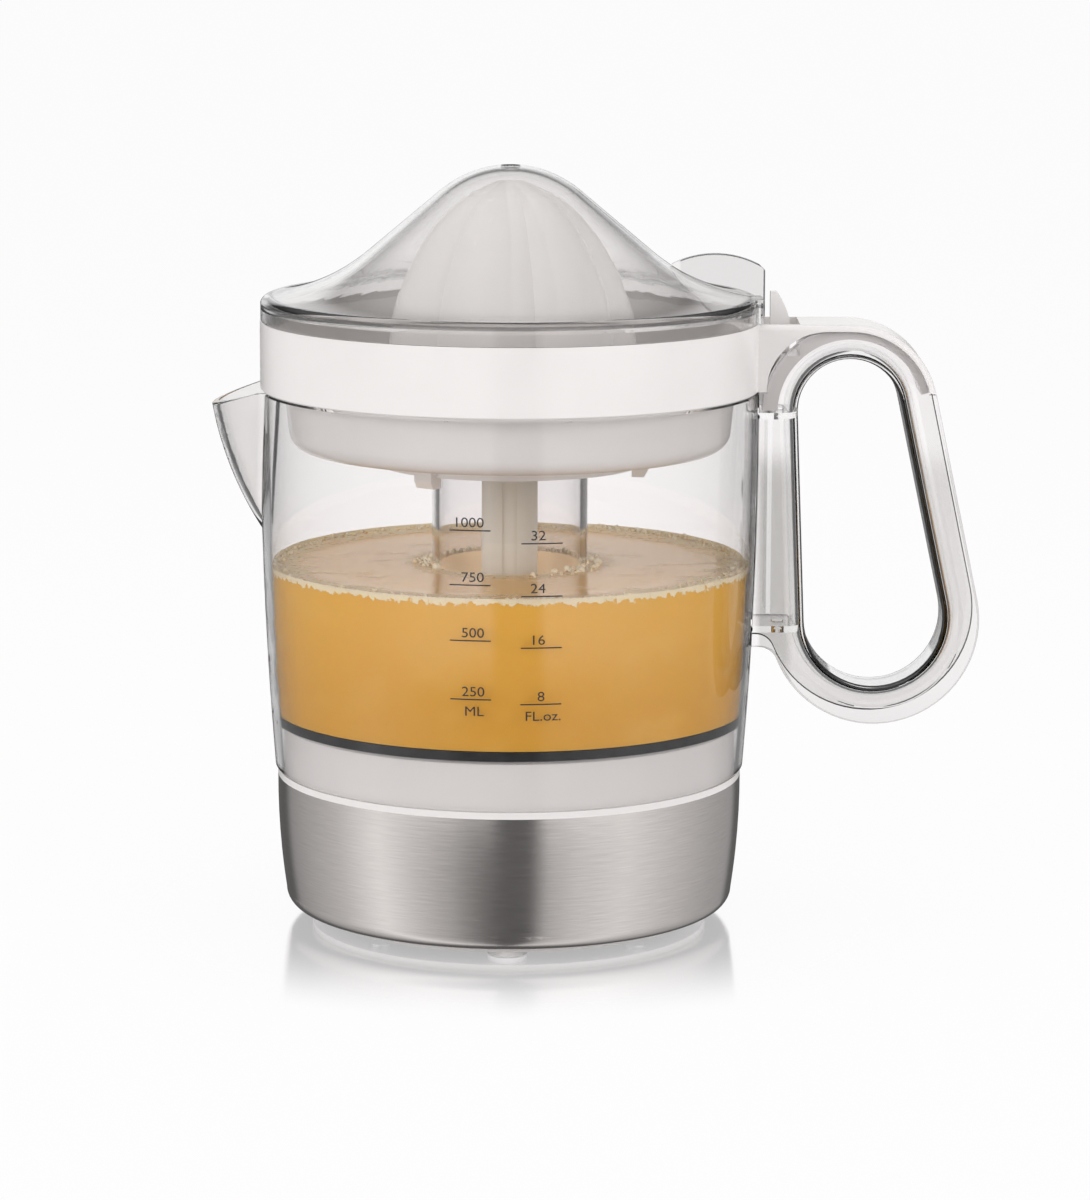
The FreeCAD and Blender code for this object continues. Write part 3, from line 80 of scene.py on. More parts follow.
class Field:
    """A value socket that Python arithmetic extends with Math nodes."""

    def __init__(self, finish, socket):
        self.finish = finish
        self.socket = socket

    def math(self, operation, *others):
        values = dict(enumerate((self,) + others))
        return self.finish.value("ShaderNodeMath", {"operation": operation}, values)

    def __add__(self, other):
        return self.math("ADD", other)

    def __sub__(self, other):
        return self.math("SUBTRACT", other)

    def __rsub__(self, other):
        return self.finish.value("ShaderNodeMath", {"operation": "SUBTRACT"}, {0: other, 1: self})

    def __mul__(self, other):
        return self.math("MULTIPLY", other)

    def __truediv__(self, other):
        return self.math("DIVIDE", other)

    __radd__ = __add__

    def step(self, low, high):
        """0 below low, 1 above high, smooth between."""
        settings = {"interpolation_type": "SMOOTHSTEP"}
        sockets = {"Value": self, "From Min": low, "From Max": high}
        return self.finish.value("ShaderNodeMapRange", settings, sockets)

    def step_mm(self, span):
        """The same step, between two lengths in millimetres."""
        low, high = span
        return self.step(low * MM, high * MM)


class Graph:
    """A node tree and the few ways in which its nodes are added."""

    def __init__(self, tree):
        self.tree = tree

    def feed(self, socket, value):
        if isinstance(value, Field):
            self.tree.links.new(value.socket, socket)
        elif isinstance(value, bpy.types.NodeSocket):
            self.tree.links.new(value, socket)
        elif isinstance(value, tuple) and len(value) == 3 and socket.type == "RGBA":
            socket.default_value = value + (1.0,)
        else:
            socket.default_value = value

    def node(self, kind, settings=None, sockets=None):
        """A node of a kind: its settings first, then the values or links of its sockets."""
        made = self.tree.nodes.new(kind)
        for name, value in (settings or {}).items():
            if name == "stops":
                while len(made.color_ramp.elements) < len(value):
                    made.color_ramp.elements.new(0.5)
                for element, (place, colour) in zip(made.color_ramp.elements, value):
                    element.position = place
                    element.color = colour + (1.0,)
            else:
                setattr(made, name, value)
        for name, value in (sockets or {}).items():
            self.feed(made.inputs[name], value)
        return made

    def value(self, kind, settings=None, sockets=None):
        return Field(self, self.node(kind, settings, sockets).outputs[0])

    def place(self, kind="Object"):
        """Coordinates of the piece in metres, its Normal, or with Generated the direction in a world."""
        return self.node("ShaderNodeTexCoord").outputs[kind]

    def axes(self, kind="Object"):
        parts = self.node("ShaderNodeSeparateXYZ", None, {"Vector": self.place(kind)})
        return [Field(self, parts.outputs[i]) for i in range(3)]

    def vector(self, x, y, z):
        return self.node("ShaderNodeCombineXYZ", None, {0: x, 1: y, 2: z}).outputs[0]

    def noise(self, scale, detail=2.0, vector=None, rough=0.5):
        sockets = {"Vector": vector or self.place(), "Scale": scale, "Detail": detail, "Roughness": rough}
        return self.value("ShaderNodeTexNoise", None, sockets)

    def mix(self, factor, first, second):
        """Colour between two colours."""
        mixer = self.node("ShaderNodeMix", {"data_type": "RGBA"}, {0: factor, 6: first, 7: second})
        return mixer.outputs[2]

    def blend(self, factor, first, second):
        """Shader between two shaders, given by their nodes."""
        made = self.node("ShaderNodeMixShader", None, {0: factor})
        self.tree.links.new(first.outputs[0], made.inputs[1])
        self.tree.links.new(second.outputs[0], made.inputs[2])
        return made

    def show(self, shader, output):
        self.tree.links.new(shader.outputs[0], self.tree.nodes[output].inputs["Surface"])


class Finish(Graph):
    """A material and its Principled shader, with constants set on the shader's own sockets."""

    def __init__(self, name, **constants):
        self.material = bpy.data.materials.new(name)
        self.material.use_nodes = True
        super().__init__(self.material.node_tree)
        self.shader = self.tree.nodes["Principled BSDF"]
        self.set(**constants)

    def set(self, **sockets):
        for name, value in sockets.items():
            self.feed(self.shader.inputs[name.replace("_", " ")], value)

    def bump(self, height, depth):
        """Relief of a depth in metres on the shader's normal."""
        made = self.node("ShaderNodeBump", None, {"Height": height, "Distance": depth, "Strength": 1.0})
        self.set(Normal=made.outputs[0])

    def let_lamps_through(self):
        """Shadow rays pass, so that what stands behind the clear wall is lit."""
        film = self.node("ShaderNodeBsdfTransparent", None, {"Color": (1.0, 1.0, 1.0)})
        path = self.node("ShaderNodeLightPath")
        self.show(self.blend(path.outputs["Is Shadow Ray"], self.shader, film), "Material Output")


def moulded(name, colour, shade, rough, depth=4e-6):
    """Moulded plastic: faint flow clouds in its colour and a fine spark-eroded grain."""
    finish = Finish(name, IOR=1.5)
    cloud = finish.noise(38.0, 3.0)
    finish.set(Base_Color=finish.mix(cloud.step(0.3, 0.75), colour, shade))
    finish.set(Roughness=rough + (finish.noise(420.0, 2.0) - 0.5) * 0.12)
    finish.bump(finish.noise(2600.0, 2.0), depth)
    return finish.material


def clear(name, colour, rough, shade_masks, painted_shade_colour, painted_edge_colour):
    """Clear moulded plastic with a faint haze, and painted shade: one tone on the parts and another on the
    edges that the mask function finds.
    """
    finish = Finish(name, IOR=1.46, Transmission_Weight=1.0)
    part, edge = shade_masks(finish, *finish.axes())
    # Painted shade: grey and dark tones in the clear plastic's colour stand in for the dark reflections and
    # shadow lines at its thick parts and edges
    shaded_tone = finish.mix(part, colour, painted_shade_colour)
    finish.set(Base_Color=finish.mix(edge, shaded_tone, painted_edge_colour))
    haze = finish.noise(24.0, 3.0).step(0.35, 0.8)
    finish.set(Roughness=rough + haze * 0.02)
    finish.let_lamps_through()
    return finish.material


# Where the painted shade on the clear pieces starts and ends: each pair is the start and the end of a
# change, in millimetres
JUG_OUTSIDE = (77.8, 79.2)
HANDLE_SIDE = (0.0, 10.0)
LEG_END = (86.5, 88.5)
ARM_LEVEL = (138.0, 150.0)
LID_RIM = (74.5, 76.0)
CORNER_RADIUS = (75.2, 75.8)
CORNER_HALF = (0.4, 0.8)
FIN_START = (52.0, 53.0)
FIN_HALF = (1.03, 1.08)
FIN_FOOT = (185.0, 186.0)
FIN_OUTLINE = (0.55, 0.35)

# Shares: how far a wall turns to the front before its painted edge shade ends, and the strength of the
# painted shade away from the leg
EDGE_FACING = (0.15, 0.5)
PLAIN_SHADE_SHARE = 0.5


def facing(finish):
    """How far a face turns to the front or the back, 0 to 1."""
    parts = finish.node("ShaderNodeSeparateXYZ", None, {"Vector": finish.place("Normal")})
    return Field(finish, parts.outputs["Y"]).math("ABSOLUTE")


def jug_painted_shade(finish, x, y, z):
    """Painted shade on the handle and spout, most by the inner leg and not under the white arm; painted edge
    shade on the handle's side walls.
    """
    outside = (x * x + y * y).math("SQRT").step_mm(JUG_OUTSIDE)
    handle = x.step_mm(HANDLE_SIDE)
    edge = outside * handle * (1.0 - facing(finish).step(*EDGE_FACING))
    leg = handle * (1.0 - x.step_mm(LEG_END))
    depth = leg * (1.0 - PLAIN_SHADE_SHARE) + PLAIN_SHADE_SHARE
    return outside * depth * (1.0 - handle * z.step_mm(ARM_LEVEL)), edge


def lid_painted_shade(finish, x, y, z):
    """Painted shade on the lid: a grey tone on the upright rim and grip fin, a painted shadow line at the
    rim's corner and a dark painted outline round the fin.
    """
    radius = (x * x + y * y).math("SQRT")
    rim = radius.step_mm(LID_RIM)
    off_corner = (z - LID_CORNER * MM).math("ABSOLUTE").step_mm(CORNER_HALF)
    corner = radius.step_mm(CORNER_RADIUS) * (1.0 - off_corner)
    beside = y.math("ABSOLUTE").step_mm(FIN_HALF)
    fin = x.step_mm(FIN_START) * (1.0 - beside) * z.step_mm(FIN_FOOT)
    crest_x, crest_z, crest_radius = circle_through(*FIN_CREST)
    across, up = x - crest_x * MM, z - crest_z * MM
    reach = (across * across + up * up).math("SQRT")
    outline = reach.step_mm([crest_radius - inset for inset in FIN_OUTLINE])
    outline = outline.math("MAXIMUM", x.step_mm([FIN_END - inset for inset in FIN_OUTLINE]))
    return rim.math("MAXIMUM", fin), (fin * outline).math("MAXIMUM", corner)


def brushed_sleeve():
    """Steel brushed round the sleeve: long fine strokes that follow the curve."""
    finish = Finish("brushed_sleeve", Metallic=1.0, Anisotropic=0.7, Anisotropic_Rotation=0.25)
    x, y, z = finish.axes()
    turn = y.math("ARCTAN2", x)
    fine = finish.noise(1.0, 3.0, finish.vector(turn * 9.0, z * 6500.0, 0.0))
    broad = finish.noise(1.0, 2.0, finish.vector(turn * 3.0, z * 1500.0, 3.0))
    stroke = fine * 0.75 + broad * 0.25
    finish.set(Base_Color=finish.mix(stroke.step(0.25, 0.75), (0.58, 0.545, 0.53), (0.68, 0.64, 0.62)))
    finish.set(Roughness=0.19 + (stroke - 0.5) * 0.10)
    finish.bump(stroke, 3e-6)
    return finish.material


def drawn_steel(name, colour, worn, rough):
    finish = Finish(name, Metallic=1.0)
    grain = finish.noise(900.0, 3.0)
    finish.set(Base_Color=finish.mix(grain.step(0.3, 0.7), colour, worn))
    finish.set(Roughness=rough + (finish.noise(260.0, 2.0) - 0.5) * 0.2)
    finish.bump(grain, 3e-6)
    return finish.material


def banded(name, dark, light, pitch, metal, rough):
    """Layers across Z: the sheets of a stack or the turns of a winding."""
    finish = Finish(name, Metallic=metal, Roughness=rough)
    z = finish.axes()[2]
    layer = (z / pitch).math("FRACT").math("PINGPONG", 0.5) * 2.0
    finish.set(Base_Color=finish.mix(layer.step(0.1, 0.5), dark, light))
    finish.bump(layer, pitch * 0.25)
    return finish.material


def rubber(name, colour, shade):
    finish = Finish(name)
    cloud = finish.noise(140.0, 3.0)
    finish.set(Base_Color=finish.mix(cloud.step(0.3, 0.7), colour, shade))
    finish.set(Roughness=0.62 + (finish.noise(700.0, 2.0) - 0.5) * 0.2)
    finish.bump(finish.noise(1800.0, 2.0), 1.2e-5)
    return finish.material


LIT_WALL_EDGE = (CHIMNEY + 0.4, CHIMNEY + 0.6)
FOAM_RIM = (60.0, 71.0)
FOAM_CENTRE = (27.0, 36.0)
FOAM_DEPTH = (JUICE_LEVEL - 0.9, JUICE_LEVEL - 0.2)


def juice_finish():
    """Cloudy juice: pulp drifts in its depth, foam lies at the rim and round the chimney, and the inner wall
    by the chimney has painted light.
    """
    finish = Finish("orange_juice", IOR=1.35, Subsurface_Weight=0.25, Subsurface_Scale=0.004)
    finish.set(Subsurface_Radius=(1.0, 0.55, 0.2))
    x, y, z = finish.axes()
    radius = (x * x + y * y).math("SQRT")
    drift = finish.noise(1.0, 3.0, finish.vector(x * 45.0, y * 45.0, z * 70.0))
    depth = z.step_mm((JUG_FLOOR, JUICE_LEVEL))
    body = finish.mix(depth, (0.72, 0.365, 0.042), (0.81, 0.44, 0.065))
    body = finish.mix(drift.step(0.45, 0.8) * 0.3, body, (0.83, 0.51, 0.12))
    # Painted light: the juice's inner wall round the chimney, in the tray's shade, gets a lighter colour and
    # a glow
    painted_light_wall = 1.0 - radius.step_mm(LIT_WALL_EDGE)
    body = finish.mix(painted_light_wall, body, (0.93, 0.74, 0.52))
    finish.set(Emission_Color=finish.mix(painted_light_wall, (0.0, 0.0, 0.0), (0.34, 0.24, 0.14)), Emission_Strength=1.0)
    swirl = finish.noise(1.0, 4.0, finish.vector(x * 60.0, y * 110.0, 0.0), 0.6)
    edge = (radius + (swirl - 0.5) * 0.02).step_mm(FOAM_RIM)
    centre = 1.0 - (radius + (swirl - 0.5) * 0.016).step_mm(FOAM_CENTRE)
    ragged = finish.noise(520.0, 3.0)
    top = (z + (ragged - 0.5) * 0.0055).step_mm(FOAM_DEPTH)
    froth = (edge + centre * 0.7 + swirl.step(0.5, 0.72) * 0.45).math("MINIMUM", 1.0) * top
    finish.set(Base_Color=finish.mix(froth, body, (0.93, 0.77, 0.52)))
    finish.set(Roughness=0.16 + froth * 0.3)
    finish.bump(finish.noise(900.0, 2.0) * froth, 2.5e-4)
    return finish.material


def froth_finish():
    finish = Finish("juice_bubbles", IOR=1.33)
    film = finish.noise(600.0, 2.0)
    finish.set(Base_Color=finish.mix(film.step(0.3, 0.7), (0.90, 0.72, 0.46), (0.93, 0.86, 0.70)))
    finish.set(Roughness=0.12 + film * 0.15)
    return finish.material


def ink_finish():
    finish = Finish("scale_ink")
    speck = finish.noise(2400.0, 2.0)
    finish.set(Base_Color=finish.mix(speck.step(0.35, 0.8), (0.012, 0.012, 0.014), (0.035, 0.035, 0.038)))
    finish.set(Roughness=0.4 + speck * 0.15)
    return finish.material


# Painted light: the reamer's white is a lighter copy of the white plastic, standing in for light it lacks
# under the lid
painted_light_white = moulded("painted_light_white_plastic", (0.855, 0.835, 0.825), (0.835, 0.815, 0.805), 0.25)
white = moulded("white_plastic", (0.81, 0.785, 0.775), (0.785, 0.765, 0.755), 0.22)
cream = moulded("cream_plastic", (0.96, 0.92, 0.83), (0.94, 0.90, 0.80), 0.42)
black = moulded("black_plastic", (0.018, 0.018, 0.020), (0.030, 0.030, 0.032), 0.5)
jacket = moulded("lead_jacket", (0.40, 0.03, 0.02), (0.32, 0.025, 0.02), 0.5)
# Painted shade: the grey tone and the edge tone darken the jug's handle, spout and handle side walls
jug_clear = clear("clear_jug", (0.985, 0.972, 0.972), 0.012, jug_painted_shade,
                  (0.76, 0.75, 0.74), (0.84, 0.84, 0.84))
# Painted shade: the grey tone darkens the lid's rim and fin; the dark tone paints the corner shadow line and
# the fin outline
lid_smoke = clear("smoky_lid", (0.94, 0.93, 0.925), 0.015, lid_painted_shade,
                  (0.82, 0.81, 0.805), (0.18, 0.18, 0.18))
sleeve_steel = brushed_sleeve()
steel = drawn_steel("drawn_steel", (0.55, 0.55, 0.56), (0.66, 0.66, 0.67), 0.32)
bronze = drawn_steel("sintered_bronze", (0.42, 0.28, 0.14), (0.55, 0.38, 0.20), 0.45)
iron = banded("stacked_sheet", (0.07, 0.07, 0.075), (0.20, 0.20, 0.21), 0.0006, 0.9, 0.5)
winding = banded("enamelled_wire", (0.28, 0.07, 0.02), (0.62, 0.23, 0.09), 0.0005, 0.8, 0.35)
# Dark rubber for the spindle seal, and painted shade on the floor ring: a dark piece where the edge of the
# jug floor only looks dark through the wall
seal_rubber_and_shade_ring = rubber("dark_seal_and_shade_ring", (0.012, 0.012, 0.014), (0.030, 0.030, 0.032))
foot_rubber = rubber("pale_foot", (0.88, 0.87, 0.86), (0.84, 0.83, 0.82))
juice_look = juice_finish()
froth_look = froth_finish()
ink = ink_finish()

finishes = {
    white: "base_housing bottom_plate tray pulp_sieve pulp_ring pulp_lever switch_button",
    painted_light_white: "reamer",
    cream: "drive_shaft output_gear double_gear",
    black: "cord_gland switch_body terminal_block",
    jacket: "lead_wires",
    jug_clear: "jug_body jug_base",
    lid_smoke: "lid",
    sleeve_steel: "steel_sleeve",
    steel: "housing_screws press_rod double_axle rotor_shaft motor_bridge motor_bolts motor_spacers "
           "gear_plate plate_screws plunger_pin return_spring switch_bracket",
    bronze: "rotor_pinion lower_bush upper_bush",
    iron: "rotor_core stator_core",
    winding: "field_coils",
    seal_rubber_and_shade_ring: "floor_seal spindle_seal",
    foot_rubber: "rubber_feet",
}
for finish, nodes in finishes.items():
    for node in nodes.split():
        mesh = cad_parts[node].data
        mesh.materials.clear()
        mesh.materials.append(finish)


# Modelling helpers

def start_clean():
    if bpy.context.object and bpy.context.object.mode != "OBJECT":
        bpy.ops.object.mode_set(mode="OBJECT")
    bpy.ops.object.select_all(action="DESELECT")


def settle(piece, name, finish, body):
    """Names a finished piece, puts its place into its mesh, dresses it and lets it ride."""
    start_clean()
    piece.select_set(True)
    bpy.context.view_layer.objects.active = piece
    bpy.ops.object.transform_apply(location=True, rotation=True, scale=True)
    piece.name = name
    piece.data.materials.clear()
    piece.data.materials.append(finish)
    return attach(piece, body)


def drawn_up(rings, sides):
    """Closed skin drawn from ring to ring; the last ring meets the first."""
    start_clean()
    radius, height = rings[0]
    bpy.ops.mesh.primitive_circle_add(vertices=sides, radius=radius * MM, location=(0, 0, height * MM))
    piece = bpy.context.object
    bpy.ops.object.mode_set(mode="EDIT")
    bpy.ops.mesh.select_all(action="SELECT")
    for next_radius, next_height in rings[1:] + rings[:1]:
        rise = (0, 0, (next_height - height) * MM)
        bpy.ops.mesh.extrude_region_move(TRANSFORM_OT_translate={"value": rise})
        grow = next_radius / radius
        bpy.ops.transform.resize(value=(grow, grow, 1), center_override=(0, 0, next_height * MM))
        radius, height = next_radius, next_height
    bpy.ops.mesh.select_all(action="SELECT")
    bpy.ops.mesh.remove_doubles(threshold=1e-6)
    bpy.ops.mesh.normals_make_consistent(inside=False)
    bpy.ops.object.mode_set(mode="OBJECT")
    bpy.ops.object.shade_smooth_by_angle(angle=math.radians(40))
    return piece


def wrapped(piece, turn, height):
    """Wraps a flat piece, drawn in its XY plane in metres, onto the jug's front wall."""
    for vertex in piece.data.vertices:
        level = height * MM + vertex.co.y
        radius = (wall_radius(level / MM) + INK_LIFT) * MM + vertex.co.z
        angle = math.radians(turn) + vertex.co.x / radius
        vertex.co = Vector((radius * math.sin(angle), -radius * math.cos(angle), level))
    return piece


def printed_word(text, turn, height, size, align, shift):
    """A word at a size, drawn wide, whose end or middle lies a shift right of a direction."""
    start_clean()
    bpy.ops.object.text_add()
    word = bpy.context.object
    word.data.body = text
    word.data.size = size * MM
    word.data.align_x = align
    word.data.extrude = INK_DEPTH * MM / 2
    word.data.resolution_u = 6
    bpy.ops.object.convert(target="MESH")
    word = bpy.context.object
    stretch = Matrix.Diagonal((FIGURE_STRETCH, 1, 1, 1))
    word.data.transform(Matrix.Translation((shift * MM, 0, 0)) @ stretch)
    return wrapped(word, turn, height)


def printed_line(turn, height, length, width):
    start_clean()
    bpy.ops.mesh.primitive_cube_add(size=1)
    line = bpy.context.object
    line.scale = (length * MM, width * MM, INK_DEPTH * MM)
    bpy.ops.object.transform_apply(location=False, rotation=False, scale=True)
    bpy.ops.object.mode_set(mode="EDIT")
    bpy.ops.mesh.select_all(action="SELECT")
    bpy.ops.mesh.subdivide(number_cuts=11)
    bpy.ops.object.mode_set(mode="OBJECT")
    return wrapped(line, turn, height)


def joined(parts):
    start_clean()
    for part in parts:
        part.select_set(True)
    bpy.context.view_layer.objects.active = parts[0]
    bpy.ops.object.join()
    return bpy.context.object


# Printed volume scale

LINE_LENGTH = 12.3
LINE_WIDTH = 0.38
FIGURE_SIZE = 4.15
FIGURE_STRETCH = 1.13
FIGURE_LIFT = 1.0
UNIT_DROP = 5.0
# Name, turn in degrees, marks, right end of the figures, unit and its middle
columns = (
    ("ml", -8.3, (("1000", 133.5), ("750", 117.1), ("500", 100.3), ("250", 82.4)), 4.3, "ML", 1.0),
    ("oz", 7.6, (("32", 129.7), ("24", 113.8), ("16", 98.2), ("8", 81.0)), 1.2, "FL.oz.", 0.7),
)
for column, turn, marks, end, unit, middle in columns:
    ink_parts = []
    for figure, level in marks:
        ink_parts.append(printed_line(turn, level, LINE_LENGTH, LINE_WIDTH))
        ink_parts.append(printed_word(figure, turn, level + FIGURE_LIFT, FIGURE_SIZE, "RIGHT", end))
    ink_parts.append(printed_word(unit, turn, marks[-1][1] - UNIT_DROP, FIGURE_SIZE, "CENTER", middle))
    scale_print = settle(joined(ink_parts), "scale_print_" + column, ink, "jug")

# Return spring: a copy of the CAD spring with its doubled points merged, riding with the base

coil = bpy.data.objects.new("return_spring_coil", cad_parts["return_spring"].data.copy())
bpy.context.collection.objects.link(coil)
start_clean()
coil.select_set(True)
bpy.context.view_layer.objects.active = coil
bpy.ops.object.mode_set(mode="EDIT")
bpy.ops.mesh.select_all(action="SELECT")
bpy.ops.mesh.remove_doubles(threshold=1e-7)
bpy.ops.object.mode_set(mode="OBJECT")
settle(coil, "return_spring_coil", steel, "base")
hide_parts("return_spring")
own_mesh(coil)

# Juice in the jug

JUICE_RINGS = 12
JUICE_SIDES = 192
MENISCUS = 0.9
inner = [(CHIMNEY + JUICE_GAP, JUICE_LEVEL), (CHIMNEY + JUICE_GAP, JUG_FLOOR + JUICE_GAP)]
outer = []
for i in range(JUICE_RINGS + 1):
    level = JUG_FLOOR + JUICE_GAP + (JUICE_LEVEL + MENISCUS - JUG_FLOOR) * i / JUICE_RINGS
    outer.append((wall_radius(level) - WALL - JUICE_GAP, level))
rim = outer[-1][0]
surface = [(rim - 0.5, JUICE_LEVEL + 0.35)]
surface += [(radius, JUICE_LEVEL) for radius in (rim - 1.6, rim * 0.75, rim * 0.5)]
settle(drawn_up(inner + outer + surface, JUICE_SIDES), "juice", juice_look, "jug")


def bubble_places(seed, count, near, far, drifts, small, large):
    """Places and sizes of bubbles in a ring, gathered in drifts and piled at the wall."""
    dice = random.Random(seed)
    turns = [dice.uniform(0, 2 * math.pi) for _ in range(drifts)]
    for _ in range(count):
        angle = dice.choice(turns) + dice.gauss(0, 0.2)
        size = small + dice.random() ** 3 * (large - small)
        out = dice.random() ** 0.5
        radius = near + (far - near) * out - size
        height = JUICE_LEVEL + size * 0.3 + out ** 6 * 0.7
        yield radius * math.cos(angle), radius * math.sin(angle), height, size


start_clean()
bpy.ops.mesh.primitive_ico_sphere_add(subdivisions=2, radius=1.0)
bubble = bpy.context.object
bpy.ops.object.shade_smooth()
bubbles = []
# Seed, count, near and far radius, drifts, smallest and largest bubble
froth_rings = (
    (4, 1100, rim - 3.2, rim - 0.15, 34, 0.22, 0.85),
    (5, 90, rim - 9.0, rim - 2.0, 12, 0.25, 0.7),
    (9, 170, CHIMNEY + 6.5, CHIMNEY + 1.2, 7, 0.3, 1.3),
)
places = [place for ring in froth_rings for place in bubble_places(*ring)]
for x, y, z, size in places:
    copy = bpy.data.objects.new("bubble_copy", bubble.data.copy())
    copy.data.transform(Matrix.Translation((x * MM, y * MM, z * MM)) @ Matrix.Scale(size * MM, 4))
    bpy.context.collection.objects.link(copy)
    bubbles.append(copy)
bpy.data.objects.remove(bubble)
settle(joined(bubbles), "juice_froth", froth_look, "jug")


# Stage, light and camera

# Brightness of the studio round the object. Each pair is a place, from 0 at the camera to 1 at the backdrop,
# and a level: the dark gap at the camera, the softboxes at the sides, the dark flags and the backdrop.
# Below the horizon the left and right sides have their own; so has what clear walls throw back.
FAR_STUDIO = (
    (0.0, 0.12), (0.006, 0.12), (0.010, 1.6), (0.12, 1.6), (0.30, 1.0), (0.60, 0.6), (0.78, 0.2),
    (0.95, 0.12), (0.975, 1.0),
)
NEAR_LEFT = (
    (0.0, 0.14), (0.006, 0.16), (0.085, 0.52), (0.345, 1.15), (0.58, 0.70), (0.79, 0.5),
    (0.90, 0.36), (0.94, 0.12),
)
NEAR_RIGHT = (
    (0.0, 0.14), (0.004, 0.15), (0.019, 0.60), (0.071, 0.80), (0.23, 1.0), (0.47, 0.76),
    (0.67, 0.58), (0.90, 0.40), (0.94, 0.12),
)
CLEAR_STUDIO = ((0.0, 0.25), (0.35, 0.20), (0.50, 0.10), (0.90, 0.10), (0.955, 0.25), (0.985, 1.0))
TOP_BOX = (0.85, 0.845, 0.845)
CLEAR_TOP = (0.16, 0.16, 0.16)
STUDIO_TURN = math.radians(4)
WHITE = (1.0, 0.993, 0.996)
FLOOR_SIZE = 30.0
FLOOR_DROP = 0.2
SHEEN_SPAN = (70.0, 135.0)
SHEEN = 0.55
FLOOR_GLOW = 0.95
AMBIENT = (0.54, 0.53, 0.53)
INNER_AMBIENT = (0.94, 0.93, 0.92)

# Start and end of each change in the studio: on the floor in millimetres, then along a direction
MIRROR_FLOOR = (330.0, 450.0)
FRONT_SHARE = (-0.2, 0.1)
LEFT_TO_RIGHT = (-0.02, 0.02)
HORIZON = (-0.03, 0.0)
TOP_EDGE = (0.35, 0.7)
CLEAR_TOP_EDGE = (0.24, 0.42)


def studio_part(graph, stops, along):
    """Brightness where a direction's share along the view runs from -1 to 1."""
    greys = [(place, (level, level, level)) for place, level in stops]
    return graph.node("ShaderNodeValToRGB", {"stops": greys}, {0: along * 0.5 + 0.5}).outputs[0]


def studio_share(x, y):
    return y * math.cos(STUDIO_TURN) - x * math.sin(STUDIO_TURN)


def mirrored(graph, path):
    """1 on rays that reach the studio by mirrors and clear walls alone."""
    bounced = Field(graph, path.outputs["Diffuse Depth"]).math("MINIMUM", 1.0)
    shown = Field(graph, path.outputs["Is Glossy Ray"]) + Field(graph, path.outputs["Is Transmission Ray"])
    return shown.math("MINIMUM", 1.0) * (1.0 - bounced)


def through_clear(graph, path, dark):
    """What a clear wall shows: white straight through it, the studio where a ray was thrown back."""
    thrown = Field(graph, path.outputs["Glossy Depth"]).math("MINIMUM", 1.0)
    return graph.mix(thrown, WHITE, dark)


def stage_floor():
    """White floor that keeps the shadow and a short reflection of the base."""
    start_clean()
    bpy.ops.mesh.primitive_plane_add(size=FLOOR_SIZE, location=(0, 0, -FLOOR_DROP * MM))
    floor = bpy.context.object
    bpy.ops.object.transform_apply(location=True)
    floor.name = "studio_floor"
    finish = Finish("studio_floor", Base_Color=(0.86, 0.855, 0.855), Roughness=0.9)
    x, y, _ = finish.axes()
    radius = (x * x + y * y).math("SQRT")
    path = finish.node("ShaderNodeLightPath")
    share = studio_share(x, y) / radius
    far = radius.step_mm(MIRROR_FLOOR) * (1.0 - share.step(*FRONT_SHARE))
    clear_sides = through_clear(finish, path, studio_part(finish, CLEAR_STUDIO, share))
    far_sides = studio_part(finish, FAR_STUDIO, share)
    sides = finish.mix(path.outputs["Is Transmission Ray"], far_sides, clear_sides)
    mirror_glow = finish.node("ShaderNodeEmission", None, {"Color": sides})
    passing = finish.node("ShaderNodeBsdfTransparent")
    in_mirrors = finish.blend(far, passing, mirror_glow)
    glow = finish.node("ShaderNodeEmission", None, {"Color": WHITE})
    sheen = finish.node("ShaderNodeBsdfGlossy", None, {"Color": WHITE, "Roughness": 0.1})
    fade = (1.0 - radius.step_mm(SHEEN_SPAN)) * SHEEN
    shaded = finish.blend(FLOOR_GLOW, finish.shader, finish.blend(fade, glow, sheen))
    plain = finish.blend(mirrored(finish, path), finish.shader, in_mirrors)
    finish.show(finish.blend(path.outputs["Is Camera Ray"], plain, shaded), "Material Output")
    floor.data.materials.append(finish.material)


def lamp(name, place, target, size, power):
    start_clean()
    bpy.ops.object.light_add(type="AREA", location=place)
    light = bpy.context.object
    light.name = name
    light.data.shape = "RECTANGLE"
    light.data.size, light.data.size_y = size
    light.data.energy = power
    aim = Vector(target) - Vector(place)
    light.rotation_euler = aim.to_track_quat("-Z", "Y").to_euler()
    light.visible_glossy = False
    light.visible_transmission = False


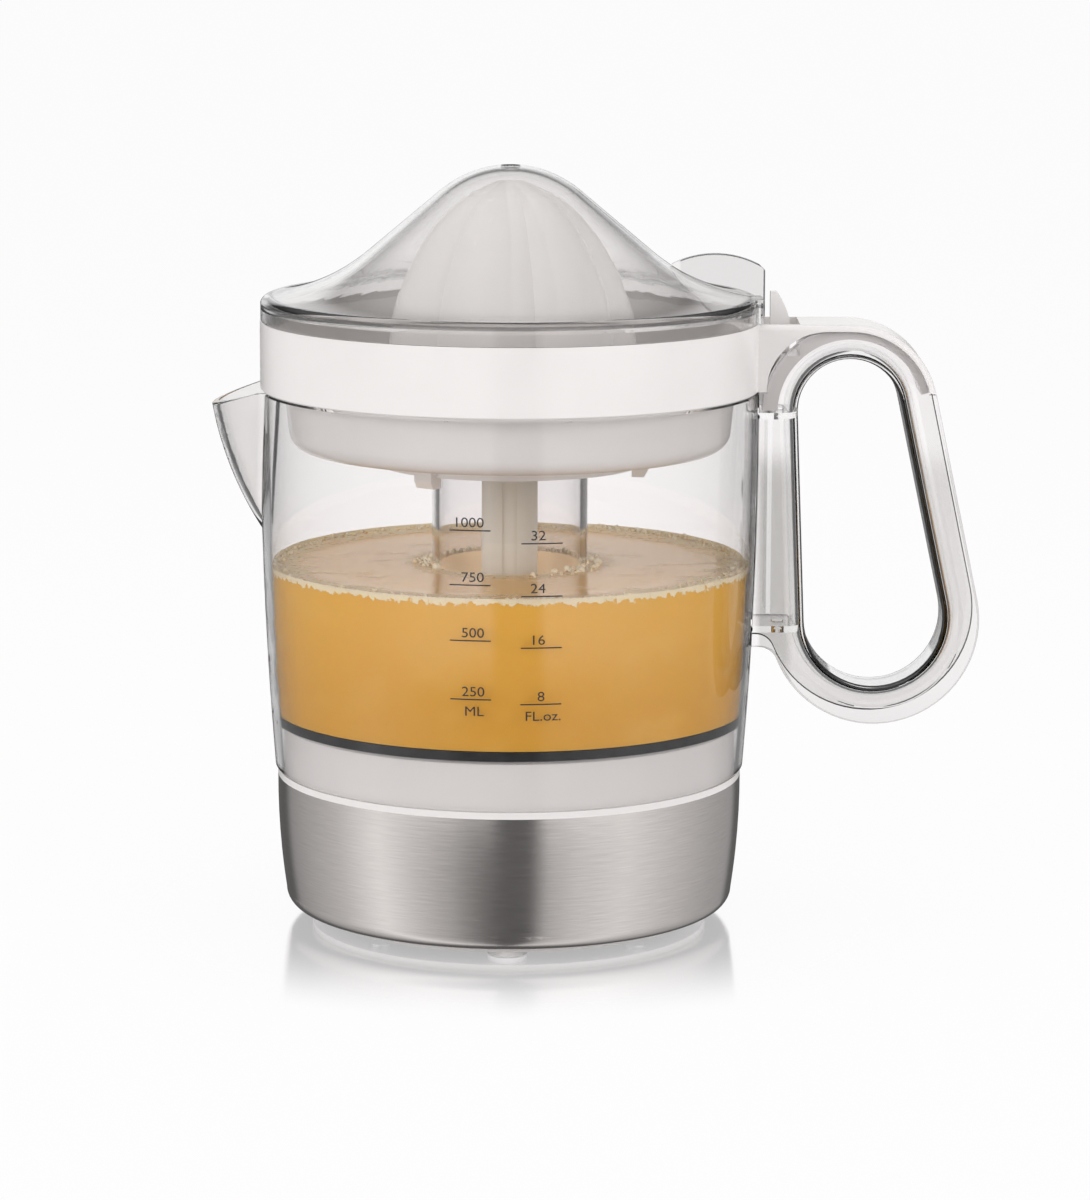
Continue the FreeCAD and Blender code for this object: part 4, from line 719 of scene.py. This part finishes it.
def studio_world():
    """Backdrop: white to the camera, the studio in glass and metal, an even glow on plain surfaces."""
    world = bpy.data.worlds.new("studio")
    bpy.context.scene.world = world
    world.use_nodes = True
    graph = Graph(world.node_tree)
    x, y, z = graph.axes("Generated")
    path = graph.node("ShaderNodeLightPath")
    share = studio_share(x, y)
    level_share = share / (x * x + y * y).math("SQRT")
    upper = studio_part(graph, FAR_STUDIO, share)
    lower = graph.mix(x.step(*LEFT_TO_RIGHT), studio_part(graph, NEAR_LEFT, level_share),
                      studio_part(graph, NEAR_RIGHT, level_share))
    sides = graph.mix(z.step(*HORIZON), lower, upper)
    clear_sides = studio_part(graph, CLEAR_STUDIO, level_share)
    sides = graph.mix(z.step(*TOP_EDGE), sides, TOP_BOX)
    clear_sides = through_clear(graph, path, graph.mix(z.step(*CLEAR_TOP_EDGE), clear_sides, CLEAR_TOP))
    colour = graph.mix(path.outputs["Is Transmission Ray"], sides, clear_sides)
    ambient = graph.mix(path.outputs["Is Transmission Ray"], AMBIENT, INNER_AMBIENT)
    colour = graph.mix(mirrored(graph, path), ambient, colour)
    colour = graph.mix(path.outputs["Is Camera Ray"], colour, WHITE)
    graph.feed(world.node_tree.nodes["Background"].inputs["Color"], colour)


stage_floor()
studio_world()
lamp("key_light", (-1.05, -0.75, 0.40), (0, 0, 0.12), (0.7, 0.8), 6.8)
lamp("fill_light", (1.05, -0.75, 0.40), (0, 0, 0.12), (0.7, 0.8), 6.5)
lamp("top_light", (0.0, 0.15, 1.3), (0, 0, 0.15), (0.9, 0.7), 5.0)

CAMERA_PLACE = (0.0111, -1.376, 0.3406)
CAMERA_PITCH = 9.943
CAMERA_ROLL = 0.227
CAMERA_LENS = 133.9
CAMERA_SENSOR = 36.0
start_clean()
bpy.ops.object.camera_add()
camera = bpy.context.object
camera.name = "photo_camera"
camera.data.sensor_fit = "VERTICAL"
camera.data.sensor_height = CAMERA_SENSOR
camera.data.lens = CAMERA_LENS
camera.data.clip_start = 0.05
tilt = Matrix.Rotation(math.radians(90 - CAMERA_PITCH), 4, "X")
roll = Matrix.Rotation(math.radians(CAMERA_ROLL), 4, "Z")
camera.matrix_world = Matrix.Translation(CAMERA_PLACE) @ tilt @ roll
bpy.context.scene.camera = camera
bpy.context.scene.view_settings.view_transform = "Standard"
